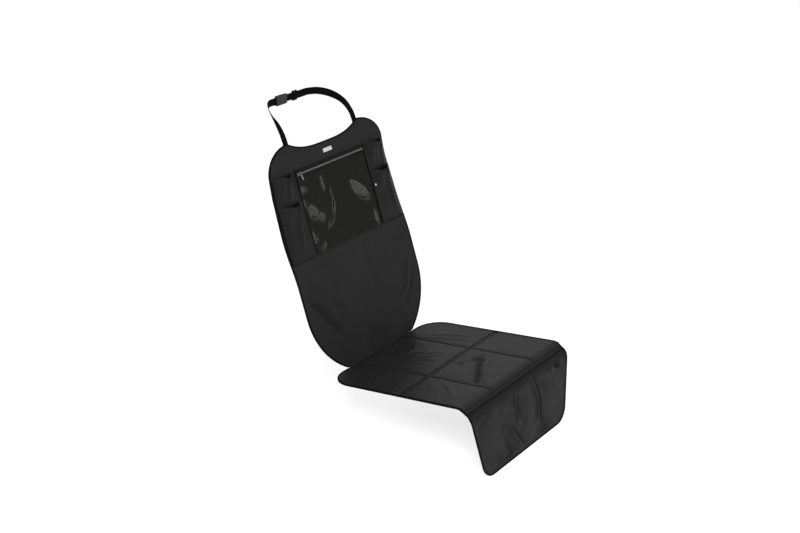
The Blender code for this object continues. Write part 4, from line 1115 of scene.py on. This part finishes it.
        half = self.SLIT / 2
        seat_ends, flap_ends = (LAYERS.gap, SEAT.front_fold - half), (SEAT.front_fold + half, SEAT.length)
        foam_ends = (0.006, SEAT.rear_fold - SEAT.fold_slope - 0.001)
        pieces = (
            ("seat_foam_sheet", "seat_padding", foam_ends, foam_top, foam_under, FOAM, "foam",
             (0.462, 0.418), "laid", "seat_backing_cloth"),
            ("seat_face_cloth", "seat_panel_face", seat_ends, face, face_under, SEAT_CLOTH, "black_cloth",
             (0.470, 0.443), "laid", "seat_foam_sheet"),
            ("seat_backing_cloth", "seat_grip_backing", seat_ends, backing_top, backing_under, GRIP,
             "grip_cloth", (0.470, 0.443), "laid", "seat_foam_sheet"),
            ("flap_face_cloth", "flap_face", flap_ends, face, face_under, FLAP_CLOTH, "black_cloth",
             (0.470, 0.197), "hung", "seat_face_cloth"),
            ("flap_lining_cloth", "flap_lining", flap_ends, lining_top, lining_under, LINING, "lining_cloth",
             (0.470, 0.197), "hung", "seat_face_cloth"),
        )
        for name, node, ends, upper, lower, finish, slot, flat, held, rests in pieces:
            inset = self.FOAM_INSET if finish is FOAM else 0.0
            made = make_object(name, node, self._layer(*ends, upper, lower, inset), finish)

        EdgeTape("seat", seat_outline(EdgeTape.STEP), on_seat,
                 lambda x, s: (lower_top(s), lower_bottom(s) + seat_pinch(x, s)), 12).build(self.stitches)
        self._seams()

    def _seams(self) -> None:
        """Stitches along the seams that quilt the seat panel and close its fold."""
        lines = []
        for x in (-SEAT.long_seam_x, SEAT.long_seam_x):
            s = np.linspace(0.006, SEAT.rear_fold - 0.002, 240)
            lines.append((x + 0 * s, s))
        for s in (SEAT.cross_seam, SEAT.cross_seam_front, SEAT.rear_fold, SEAT.front_fold + 0.0012):
            reach = float(seat_half_width(s)) - 0.006
            x = np.linspace(-reach, reach, 240)
            lines.append((x, s + 0 * x))
        x = np.linspace(-0.130, 0.130, 100)
        lines.append((x, 0.010 + 0 * x))
        rows = [on_seat(x, s, lower_top(s) + self.relief(x, s) + self.STITCH_LIFT) for x, s in lines]
        self.stitches.sew("seat_panel_stitches", rows)


class CreaseTape:
    """The folded tape behind the crease."""

    REACH = 0.014
    WALL = 0.0007

    def build(self) -> None:
        """Make the tape, with a slight wave along its edges."""
        half = CREASE_HALF - BINDING_COVER
        x = np.linspace(-half, half, 90)
        lean = np.array([math.cos(BACK_LEAN), -math.sin(BACK_LEAN)])
        up = np.array([math.sin(BACK_LEAN), math.cos(BACK_LEAN)])
        down = np.array([-math.sin(SEAT_TILT), -math.cos(SEAT_TILT)])
        front = np.array([-math.cos(SEAT_TILT), math.sin(SEAT_TILT)])
        near_back, near_seat = LAYERS.back + LAYERS.gap, LAYERS.seat + LAYERS.gap

        def corner(back: float, seat: float) -> Array:
            return np.linalg.solve(np.stack([lean, down]), np.array([back, seat]))

        inner = corner(near_back, near_seat)
        outer = corner(near_back + self.WALL, near_seat + self.WALL)
        path = [lean * near_back + up * self.REACH, lean * (near_back + self.WALL) + up * self.REACH]
        top = path[1]
        path += [top + (outer - top) * t for t in (0.25, 0.5, 0.75, 1.0)]
        end = down * (near_seat + self.WALL) + front * self.REACH
        path += [outer + (end - outer) * t for t in (0.33, 0.67, 1.0)]
        path += [down * near_seat + front * self.REACH, inner]
        wave = 0.00008 * np.sin(x / 0.0066 * 2 * math.pi)
        rings = [np.stack([x, p[0] + wave, p[1] + wave], axis=-1) + CREASE for p in path]
        shape = strip(rings, 0.0035 * np.arange(len(path)), x)
        make_object("crease_fold_tape", "crease_tape", shape, TAPE)


class Pocket:
    """One side pocket: slack cloth with a folded hem at its mouth."""

    STEP = 0.0032
    SAG = 0.0085
    LIPS = {(-1, "upper"): (0.30, 0.26), (-1, "lower"): (0.34, 0.28),
            (1, "upper"): (0.62, 0.26), (1, "lower"): (0.40, 0.26)}
    RIDGES = {(-1, "upper"): (0.30, 0.060, 0.0050), (-1, "lower"): (0.16, 0.055, 0.0052),
              (1, "upper"): (0.66, 0.060, 0.0044), (1, "lower"): (0.58, 0.050, 0.0056)}
    HEM = 0.0135
    HEM_STITCHES = (0.0115, 0.0128)
    STITCH_LIFT = 0.00010

    def __init__(self, side: int, tier: str, stitches: Stitches) -> None:
        self.side = side
        self.tier = tier
        self.stitches = stitches
        self.mouth = WINDOW.upper_mouth if tier == "upper" else WINDOW.lower_mouth
        self.base = LAYERS.gap if tier == "upper" else 2 * LAYERS.gap + LAYERS.fabric
        seam = WINDOW.left if side < 0 else WINDOW.right
        self.inner = abs(seam) + PIPING_EDGE

    def _open(self, x: Array, h: Array) -> tuple[Array, Array]:
        """Share across the pocket, and how far it stands open."""
        free = self.inner + WINDOW.border
        outer = back_half_width(h) - BINDING_COVER - LAYERS.gap
        across = (x - free) / (outer - free)
        lift = smooth(across / WINDOW.open_full)
        lift = lift * smooth((WINDOW.close_end - across) / (WINDOW.close_end - WINDOW.close_from))
        return across, WINDOW.gape * lift * smooth((h - self.mouth + WINDOW.gape_depth) / WINDOW.gape_depth)

    def sag(self, across: Array) -> Array:
        """How far the slack lip hangs below the mouth's ends."""
        middle, width = self.LIPS[self.side, self.tier]
        ends = smooth(across / 0.15) * smooth((1 - across) / 0.2)
        return self.SAG * np.exp(-((across - middle) / width) ** 2) * ends

    def level(self, x: Array, h: Array) -> Array:
        """Distance of the pocket's inner face from the panel's face."""
        across, gape = self._open(x, h)
        down = np.clip((self.mouth - h) / (self.mouth - WINDOW.bottom), 0, 1)
        inside = smooth(across / 0.12) * smooth((1 - across) / 0.12)
        place, drift, height = self.RIDGES[self.side, self.tier]
        ridge = np.exp(-((across - place - drift * 4 * down) / 0.085) ** 2)
        hollow = np.exp(-((across - place - 0.22 - drift * 2 * down) / 0.10) ** 2)
        second = np.exp(-((across - place + 0.25 + drift * down) / 0.08) ** 2)
        fade = smooth(down / 0.10) * smooth((1.02 - down) / 0.55)
        slack = np.maximum(0.0, height * ridge + 0.4 * height * second - 0.35 * height * hollow) * fade
        if self.tier == "upper":
            slack = slack * smooth((h - WINDOW.lower_mouth + 0.004) / 0.030)
        ease = WINDOW.ease * wrap_back(x, h) / BACK.wrap_depth
        fine = 0.0004 * np.abs(ripple(x, h, 0.040, 51 + self.side + len(self.tier))) * inside
        return self.base + ease + gape + (slack + fine) * inside

    def build(self) -> None:
        """Make the pocket, its hem and its stitches."""
        rows = np.linspace(WINDOW.bottom, self.mouth, round((self.mouth - WINDOW.bottom) / self.STEP) + 1)
        share = np.linspace(0, 1, 31)
        outer = back_half_width(rows) - BINDING_COVER - LAYERS.gap
        x = self.inner + share[None, :] * (outer[:, None] - self.inner)
        across = self._open(x, rows[:, None])[0]
        rise = (rows[:, None] - WINDOW.bottom) / (self.mouth - WINDOW.bottom)
        h = rows[:, None] - rise * self.sag(across)
        level = self.level(x, h)
        hem = LAYERS.fabric * 0.45 * smooth((rows[:, None] - self.mouth + self.HEM) / 0.0010) + 0 * x
        across_panel = x * self.side
        shape = slab(on_back(across_panel, h, level + CLOTH_SHOWN + hem), on_back(across_panel, h, level),
                     np.stack([across_panel, h], axis=-1))
        # Painted shade on the upper pocket's cloth where it lies inside the lower pocket.
        covered = smooth((WINDOW.lower_mouth - h) / 0.004) * smooth(across / 0.1) * (self.tier == "upper")
        shape.painted_shade = np.tile(0.85 * covered.ravel(), 2)
        word = "left" if self.side < 0 else "right"
        name = f"pocket_{word}_{self.tier}"
        made = make_object(name + "_cloth", name, shape, POCKET_CLOTH)
        line_x = np.linspace(self.inner + 0.002, float(outer[-1]) - 0.001, 60)
        lines = []
        for drop in self.HEM_STITCHES:
            line_h = self.mouth - drop - self.sag(self._open(line_x, np.full_like(line_x, self.mouth))[0])
            level = self.level(line_x, line_h)
            lines.append(on_back(line_x * self.side, line_h, level + LAYERS.fabric * 1.36))
        if self.tier == "lower":
            line_h = np.linspace(WINDOW.bottom + 0.002, self.mouth - 0.002, 90)
            line_x = np.full_like(line_h, self.inner + 0.0022)
            level = self.level(line_x, line_h)
            lines.append(on_back(line_x * self.side, line_h, level + CLOTH_SHOWN + self.STITCH_LIFT))
        self.stitches.sew(name + "_stitches", lines)


class Window:
    """The clear window: film, side piping and the zip tapes that hold it."""

    TUCK = 0.003
    TILT = 0.15
    LIFT = 0.7
    FACETS = (
        (1.0, (-0.118, 0.432), (0.024, 0.016), -52), (1.0, (-0.136, 0.456), (0.010, 0.008), -40),
        (1.0, (-0.094, 0.413), (0.014, 0.012), -60), (1.0, (-0.131, 0.354), (0.024, 0.009), -62),
        (1.05, (-0.120, 0.339), (0.014, 0.012), 0), (1.15, (0.080, 0.438), (0.040, 0.018), -46),
        (1.1, (0.122, 0.346), (0.008, 0.022), 0), (1.0, (-0.131, 0.496), (0.010, 0.009), 0),
        (0.9, (-0.055, 0.494), (0.006, 0.022), 0), (1.0, (-0.031, 0.450), (0.004, 0.024), 0),
        (1.0, (-0.038, 0.412), (0.004, 0.024), -18), (1.0, (-0.062, 0.384), (0.004, 0.022), -52),
    )

    def __init__(self, stitches: Stitches) -> None:
        self.stitches = stitches
        self.low = WINDOW.left + PIPING_EDGE
        self.high = WINDOW.right - PIPING_EDGE
        self.foot = WINDOW.zip_height - WINDOW.slot / 2 - WINDOW.tape_width

    def film_level(self, x: Array, h: Array) -> Array:
        """Distance of the film's back from the panel's face."""
        rise = np.sin(math.pi * np.clip((h - WINDOW.bottom) / (self.foot - WINDOW.bottom), 0, 1))
        across = np.sin(math.pi * np.clip((x - self.low) / (self.high - self.low), 0, 1))
        inside = smooth(np.minimum(x - self.low, self.high - x) / 0.009)
        inside = inside * smooth((h - WINDOW.bottom) / 0.010) * smooth((self.foot - 0.004 - h) / 0.012)
        dents = 0.00022 * ripple(x, h, 0.11, 61) + summed(self._facet, x, h, self.FACETS)
        body = LAYERS.gap + 0.5 * WINDOW.film_crown * rise * across
        return np.maximum(body + dents * inside, LAYERS.gap)

    @classmethod
    def _facet(cls, x: Array, h: Array, centre: Sequence[float], size: Sequence[float],
               angle: float) -> Array:
        """A patch of film tilted to one side, which catches the light."""
        turn = math.radians(angle)
        dx, dy = x - centre[0], h - centre[1]
        along = (dx * math.cos(turn) + dy * math.sin(turn)) / size[0]
        across = (dy * math.cos(turn) - dx * math.sin(turn)) / size[1]
        flat = smooth((1.3 - np.sqrt(along ** 2 + across ** 2)) / 0.45)
        reach = math.hypot(size[0] * math.cos(turn), size[1] * math.sin(turn))
        return cls.TILT * (dx + cls.LIFT * reach) * flat

    def build(self) -> None:
        """Make every piece of the window apart from the zip's moving parts."""
        self._film()
        self._piping()
        self._tapes()

    def _film(self) -> None:
        """The film, whose top edge is tucked under the lower zip tape."""
        heights = np.concatenate([np.linspace(WINDOW.bottom, self.foot - WINDOW.tape_root, 84),
                                  np.linspace(self.foot - WINDOW.tape_root, self.foot + self.TUCK, 5)[1:]])
        across = np.linspace(self.low, self.high, 121)
        x, h = np.meshgrid(across, heights)
        level = self.film_level(x, h)
        shape = slab(on_back(x, h, level + WINDOW.film), on_back(x, h, level), np.stack([x, h], axis=-1))
        made = make_object("window_clear_film", "window_film", shape, FILM)

    def _piping(self) -> None:
        """A narrow folded strip along each side of the window."""
        top = WINDOW.zip_height + WINDOW.piping_overrun
        h = np.linspace(WINDOW.bottom, top, 120)
        half, rise = WINDOW.piping_width / 2, WINDOW.piping_thickness
        profile = [(-1, 0.0), (-1, 0.62), (-0.72, 0.93), (-0.25, 1.0), (0.10, 0.80), (0.55, 0.92),
                   (0.85, 0.80), (1, 0.5), (1, 0.0)]
        for word, place in (("left", WINDOW.left), ("right", WINDOW.right)):
            wave = 0.00007 * np.sin(h / PUCKER_PITCH * 2 * math.pi)
            rings = [on_back(place + half * a + 0 * h, h, LAYERS.gap + rise * b + (wave if 0 < b < 1 else 0))
                     for a, b in profile]
            shape = strip(rings, 0.0008 * np.arange(len(profile)), h)
            make_object(f"window_edge_{word}", f"window_piping_{word}", shape, TAPE)
            line = on_back(place + 0.0002 + 0 * h, h, LAYERS.gap + rise * 0.84)
            self.stitches.sew(f"window_edge_stitches_{word}", [line[2:-2]])

    def _tapes(self) -> None:
        """The zip's two tapes, which rise towards the teeth."""
        x = np.linspace(self.low, self.high, 150)
        top = WINDOW.tape_raise + WINDOW.tape
        slot, outer = WINDOW.slot / 2, WINDOW.slot / 2 + WINDOW.tape_width
        root = outer - WINDOW.tape_root
        above_film = LAYERS.gap + WINDOW.film + 0.0001
        profile = [(slot, WINDOW.tape_raise), (slot, top), (slot + 0.004, top), (root, top - 0.0001),
                   (root + 0.0016, top - 0.00035), (outer, top - 0.0005), (outer, above_film),
                   (root, above_film), (root, WINDOW.tape_raise)]
        lines = []
        for side, word in ((1, "upper"), (-1, "lower")):
            wave = 0.00006 * np.sin(x / 0.021 * 2 * math.pi + side)
            rings = [on_back(x, WINDOW.zip_height + side * a + 0 * x, b + (wave if slot < a < outer else 0))
                     for a, b in profile]
            shape = strip(rings, [a for a, _ in profile], x)
            make_object(f"zip_cloth_{word}", f"zip_tape_{word}", shape, ZIP_TAPE)
            lines.append(on_back(x, WINDOW.zip_height + side * (root + 0.0008) + 0 * x, top + 0 * x)[3:-3])
        self.stitches.sew("zip_tape_stitches", lines)


class Zip:
    """The zip's coil, stops, slider and pull."""

    PITCH = 0.0016
    WIRE = 0.00030
    END = 0.0062

    def __init__(self, window: Window) -> None:
        self.window = window
        self.base = WINDOW.tape_raise + WINDOW.tape + LAYERS.gap

    def build(self) -> None:
        """Make the coil and bevelled copies of the small metal pieces."""
        self._coil()
        for node in ("zip_stop_left", "zip_stop_right"):
            bevelled(node, node + "_clip", METAL, BODY, 0.0003)
        bevelled("zip_slider", "zip_slider_body", METAL, "slider", 0.00028)
        bevelled("zip_pull", "zip_pull_tab", METAL, "pull", 0.00025)

    def _coil(self) -> None:
        """Two rows of coil, each a wire that winds round the tape's edge."""
        turns = int((self.window.high - self.window.low - 2 * self.END) / self.PITCH)
        start = self.window.low + self.END
        for side, word in ((1, "upper"), (-1, "lower")):
            t = np.linspace(0, turns, turns * 10 + 1)
            x = start + t * self.PITCH + (0 if side > 0 else self.PITCH / 2)
            x = np.clip(x, start, self.window.high - self.END)
            low, high = WINDOW.slot / 2 - 0.0002, WINDOW.slot / 2 + 0.0011
            swing = (1 - np.cos(2 * math.pi * t)) / 2
            away = high - self.WIRE - (high - low - 2 * self.WIRE) * swing
            rise = self.base + 0.0007 + (0.0007 - self.WIRE) * np.sin(2 * math.pi * t)
            path = on_back(x, WINDOW.zip_height + side * away, rise)
            make_object(f"zip_coil_{word}", f"zip_teeth_{word}", tube(path, self.WIRE, 6), COIL)


def tube(path: Array, radius: float, around: int) -> Shape:
    """A round wire along a path of row-frame points."""
    ahead = unit(np.gradient(path, axis=0))
    side = unit(np.cross(ahead, UP_THE_BACK))
    up = np.cross(side, ahead)
    angles = np.linspace(0, 2 * math.pi, around, endpoint=False)
    rings = [path + radius * (math.cos(a) * side + math.sin(a) * up) for a in angles]
    return strip(rings, angles * radius, run_along(path))


def bevelled(node: str, name: str, finish: Finish, body: str, width: float) -> None:
    """Make a copy of a hard CAD piece with its edges rounded.

    Args:
        node: CAD node to follow.
        name: Name of the new piece.
        finish: Surface finish.
        body: Body that carries the piece.
        width: Radius of the rounded edges.
    """
    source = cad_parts[node]
    mesh = source.data.copy()
    mesh.name = name
    mesh.transform(source.matrix_world)
    work = bmesh.new()
    work.from_mesh(mesh)
    bmesh.ops.remove_doubles(work, verts=work.verts, dist=1e-6)
    bmesh.ops.dissolve_limit(work, angle_limit=math.radians(1.0), verts=work.verts, edges=work.edges)
    sharp = [e for e in work.edges if len(e.link_faces) == 2 and e.calc_face_angle(0) > math.radians(38)]
    bmesh.ops.bevel(work, geom=sharp, offset=width, offset_type="OFFSET", segments=3, profile=0.5,
                    affect="EDGES", clamp_overlap=True)
    bmesh.ops.recalc_face_normals(work, faces=work.faces)
    work.to_mesh(mesh)
    work.free()
    mesh.shade_smooth()
    mesh.set_sharp_from_angle(angle=math.radians(32))
    mesh.materials.clear()
    mesh.materials.append(MATERIALS.get(finish))
    placed(name, mesh, body, node)


class Trim:
    """The blank woven label and the press stud."""

    LABEL_HEIGHT = 0.571
    LABEL_HALF = (0.01775, 0.00525)
    STUD = (0.1525, 0.429)
    STUD_RADIUS = 0.0032
    STUD_RISE = 0.0014
    STUD_PROFILE = ((0.2, 0.0), (1.0, 0.0), (1.0, 0.25), (0.95, 0.40), (0.80, 0.48), (0.72, 0.44),
                    (0.66, 0.52), (0.55, 0.82), (0.35, 0.97), (0.12, 1.0))

    def build(self) -> None:
        """Make both pieces."""
        a, b = np.linspace(-1, 1, 41), np.linspace(-1, 1, 15)
        x, h = np.meshgrid(a * self.LABEL_HALF[0], self.LABEL_HEIGHT + b * self.LABEL_HALF[1])
        edge = np.minimum(1 - np.abs(a)[None, :] + 0 * x, (1 - np.abs(b))[:, None] * 0.3 + 0 * x)
        top = LAYERS.gap + 0.0005 + 0.00010 * smooth(edge / 0.12)
        shape = slab(on_back(x, h, top), on_back(x, h, LAYERS.gap), np.stack([x, h], axis=-1))
        make_object("label_blank_cloth", "blank_label", shape, LABEL)
        seat = 3 * LAYERS.gap + 2 * LAYERS.fabric
        angles = np.linspace(0, 2 * math.pi, 32, endpoint=False)
        rings = []
        for share, rise in self.STUD_PROFILE:
            reach = share * self.STUD_RADIUS
            x, h = self.STUD[0] + reach * np.cos(angles), self.STUD[1] + reach * np.sin(angles)
            rings.append(on_back(x, h, seat + rise * self.STUD_RISE))
        shape = sweep(np.stack(rings), np.zeros((len(rings), len(angles), 2)))
        make_object("press_stud_cap", "press_stud", shape, CAP, sharp=60)


class Strap:
    """The headrest strap: woven webbing with its slide and buckle."""

    WIDTH = 0.020
    THICKNESS = 0.0012
    LOOP = (0.308, 0.664)
    CORNER_X = 0.080
    SHARES = ((0.02, 0.12, 0.36), (0.11, 0.33, 0.68), (0.31, 0.60, 0.88), (0.62, 0.85, 0.98))
    TURNS = (0, 0, 4, 22, 50, 76, 90, 90, 90)
    LEFT_END = -0.0485
    RIGHT_END = 0.0200
    RUNNING_START = -0.0153
    RUNNING_LENGTH = 0.0907
    SEWN_X = 0.144
    SEWN_DROPS = (0.026, 0.0087)
    BOX_HALF = 0.0075
    BOX_LIFT = 0.00075

    def __init__(self, stitches: Stitches) -> None:
        self.stitches = stitches

    @staticmethod
    def _curve(points: Array, steps: int) -> Array:
        """Points along a smooth curve through the given points, even between each pair."""
        ends = np.vstack([2 * points[0] - points[1], points, 2 * points[-1] - points[-2]])
        curve = []
        for before, start, end, after in zip(ends, ends[1:], ends[2:], ends[3:]):
            square = 2 * before - 5 * start + 4 * end - after
            cube = 3 * start - before - 3 * end + after
            for t in np.arange(steps) / steps:
                curve.append(0.5 * (2 * start + (end - before) * t + square * t * t + cube * t ** 3))
        return np.array(curve + [points[-1]])

    def route(self, side: int, loop_y: float, end_x: float) -> tuple[Array, Array]:
        """Centre line and width direction of one strap, in the row frame.

        Args:
            side: -1 for the left strap and 1 for the right one.
            loop_y: Depth of its straight run behind the headrest.
            end_x: Where the straight run ends.

        Returns:
            Points of the centre line and the width's direction at each.
        """
        behind = -LAYERS.back - BINDING_EASE - BINDING_WALL - 2 * LAYERS.gap - self.THICKNESS / 2
        spots = np.array([[side * self.SEWN_X, -behind, BACK.height - drop] for drop in self.SEWN_DROPS])
        sewn, edge = turned(spots, -BACK_LEAN) - CREASE
        corner = np.array([side * self.CORNER_X, loop_y - 0.0015, self.LOOP[1]])
        between = [edge + (corner - edge) * share for share in self.SHARES]
        straight = [(side * (self.CORNER_X - 0.022), loop_y, self.LOOP[1]), (end_x, loop_y, self.LOOP[1])]
        points = np.array([sewn, edge, *between, corner, *straight])
        turns = np.radians(self.TURNS)
        widths = np.stack([side * np.cos(turns), 0 * turns, np.sin(turns)], axis=-1)
        return self._curve(points, 12) + CREASE, self._curve(widths, 12)

    def webbing(self, name: str, node: str, centres: Array, widths: Array, body: str = BODY) -> None:
        """Make one length of webbing with rounded edges and a slightly ribbed face."""
        ahead = unit(np.gradient(centres, axis=0))
        widths = unit(widths - ahead * (widths * ahead).sum(axis=1, keepdims=True))
        normals = np.cross(ahead, widths)
        half, deep = self.WIDTH / 2, self.THICKNESS / 2
        top = [(a, 1.0 if abs(a) < 0.86 else 0.84) for a in np.linspace(-0.94, 0.94, 17)]
        profile = [(-1.0, 0.0), *((a, -b) for a, b in top), (1.0, 0.0), *reversed(top)]
        rings = [centres + widths * half * a + normals * deep * b for a, b in profile]
        shape = strip(rings, [half * a for a, _ in profile], run_along(centres))
        make_object(name, node, shape, WEBBING, body)

    def build(self) -> None:
        """Make both straps, the running end, the slide and the buckle."""
        loop_y, loop_z = self.LOOP
        left = self.route(-1, loop_y, self.LEFT_END)
        self.webbing("webbing_left", "strap_left", *left)
        right = self.route(1, loop_y - 2 * self.THICKNESS - 2 * LAYERS.gap, self.RIGHT_END)
        self.webbing("webbing_right", "strap_right", *right)
        x = np.linspace(self.RUNNING_START, self.RUNNING_START + self.RUNNING_LENGTH, 40)
        centres = np.stack([x, np.full_like(x, loop_y), np.full_like(x, loop_z)], axis=-1) + CREASE
        self.webbing("webbing_running_end", "strap_running_end", centres, np.tile((0.0, 0.0, 1.0), (40, 1)),
                     "buckle_release")
        bevelled("strap_slide", "strap_slide_body", PLASTIC, BODY, 0.0005)
        bevelled("buckle_socket", "buckle_socket_body", PLASTIC, BODY, 0.0007)
        bevelled("buckle_plug", "buckle_plug_body", PLASTIC, "buckle_release", 0.0005)
        behind = turned(np.array([[0.0, self.BOX_LIFT, 0.0]]), -BACK_LEAN)[0] - CREASE
        lines = []
        for centres, widths in (left, right):
            for a, b in ((-1, -1), (1, 1), (-1, 1), (1, -1)):
                start = centres[1] + widths[1] * self.BOX_HALF * a
                end = centres[10] + widths[10] * self.BOX_HALF * b
                lines.append(np.linspace(start, end, 12) + behind)
        self.stitches.sew("strap_box_stitches", lines)


class Studio:
    """Floor, world, lights and the camera at the photograph's angle."""

    CAMERA = Vector((-2.735, -1.9005, 1.6629))
    TARGET = Vector((0.0495, 0.1321, 0.2218))
    LENS = 62.14
    SENSOR = 36.0
    CENTRE = Vector((0.0, 0.10, 0.15))
    WORLD_LIGHT = 0.33
    FLOOR_REACH = 12.0
    FLOOR_GREY = 0.8
    FLOOR_GLOW = 0.72
    FILM_SPOT = Vector((0.0, 0.29, 0.42))
    FILM_TURN = Vector((-0.14, 0.0, 0.01))
    FILM_LIGHT_AWAY = 2.6

    def build(self, lowest: float) -> None:
        """Make the studio.

        Args:
            lowest: Height of the object's lowest point, where the floor lies.
        """
        self._camera()
        self._world()
        self._floor(lowest)
        self._lights()

    @staticmethod
    def _aimed(name: str, data: bpy.types.ID, place: Vector, aim: Vector) -> bpy.types.Object:
        """Link a camera or lamp that looks at a point."""
        made = linked(name, data)
        made.location = place
        made.rotation_euler = (aim - place).to_track_quat("-Z", "Y").to_euler()
        return made

    def _camera(self) -> None:
        data = bpy.data.cameras.new("camera")
        data.lens = self.LENS
        data.sensor_width = self.SENSOR
        bpy.context.scene.camera = self._aimed("camera", data, self.CAMERA, self.TARGET)

    def _world(self) -> None:
        world = bpy.data.worlds.new("studio")
        world.use_nodes = True
        back = world.node_tree.nodes["Background"]
        back.inputs["Color"].default_value = (1, 1, 1, 1)
        back.inputs["Strength"].default_value = self.WORLD_LIGHT
        bpy.context.scene.world = world
        bpy.context.scene.view_settings.view_transform = "Standard"

    def _floor(self, lowest: float) -> None:
        """A wide pale floor that glows for the camera and in reflections only, and lights nothing."""
        mesh = bpy.data.meshes.new("floor")
        signs = ((-1, -1), (1, -1), (1, 1), (-1, 1))
        mesh.from_pydata([(self.FLOOR_REACH * a, self.FLOOR_REACH * b, lowest) for a, b in signs], [],
                         [(0, 1, 2, 3)])
        paint = bpy.data.materials.new("floor_white")
        paint.use_nodes = True
        tree = paint.node_tree
        shader = tree.nodes["Principled BSDF"]
        shader.inputs["Base Color"].default_value = (*(self.FLOOR_GREY,) * 3, 1)
        shader.inputs["Emission Color"].default_value = (1, 1, 1, 1)
        shader.inputs["Roughness"].default_value = 0.9
        shader.inputs["Specular IOR Level"].default_value = 0.1
        path = tree.nodes.new("ShaderNodeLightPath")
        seen = path.outputs["Is Camera Ray"]
        for ray in ("Is Glossy Ray", "Is Transmission Ray"):
            seen = Materials.math(tree, "MAXIMUM", seen, path.outputs[ray])
        glow = Materials.math(tree, "MULTIPLY", seen, self.FLOOR_GLOW)
        tree.links.new(glow, shader.inputs["Emission Strength"])
        mesh.materials.append(paint)
        linked("floor", mesh)

    def _lights(self) -> None:
        """Key and side lamps, and one that the film's tilted patches mirror towards the camera."""
        view = (self.CAMERA - self.FILM_SPOT).normalized()
        half = (Vector(OUT_OF_THE_BACK) + self.FILM_TURN).normalized()
        mirrored = self.FILM_SPOT + (2 * half.dot(view) * half - view) * self.FILM_LIGHT_AWAY
        for name, place, aim, size, power in (
                ("key", Vector((-2.2, -1.4, 2.3)), self.CENTRE, 1.2, 54),
                ("side", Vector((2.2, 1.3, 0.95)), self.CENTRE, 1.0, 1.4),
                ("film_light", mirrored, self.FILM_SPOT, 0.70, 4.2)):
            data = bpy.data.lights.new(name, "AREA")
            data.shape = "SQUARE"
            data.size = size
            data.energy = power
            self._aimed(name, data, place, aim)


class Builder:
    """Builds the whole scene in order."""

    def run(self) -> None:
        """Make every piece and the studio."""
        stitches = Stitches()
        BackPanel(stitches).build()
        SeatPanel(stitches).build()
        CreaseTape().build()
        for side in (-1, 1):
            for tier in ("upper", "lower"):
                Pocket(side, tier, stitches).build()
        window = Window(stitches)
        window.build()
        Zip(window).build()
        Trim().build()
        Strap(stitches).build()
        Studio().build(float(CAD_BOX[0][2]))
        LOG.info("pieces made")


def main() -> None:
    """Build the scene."""
    logging.basicConfig(level=logging.INFO)
    Builder().run()
    bpy.context.view_layer.update()


if __name__ == "__main__":
    main()
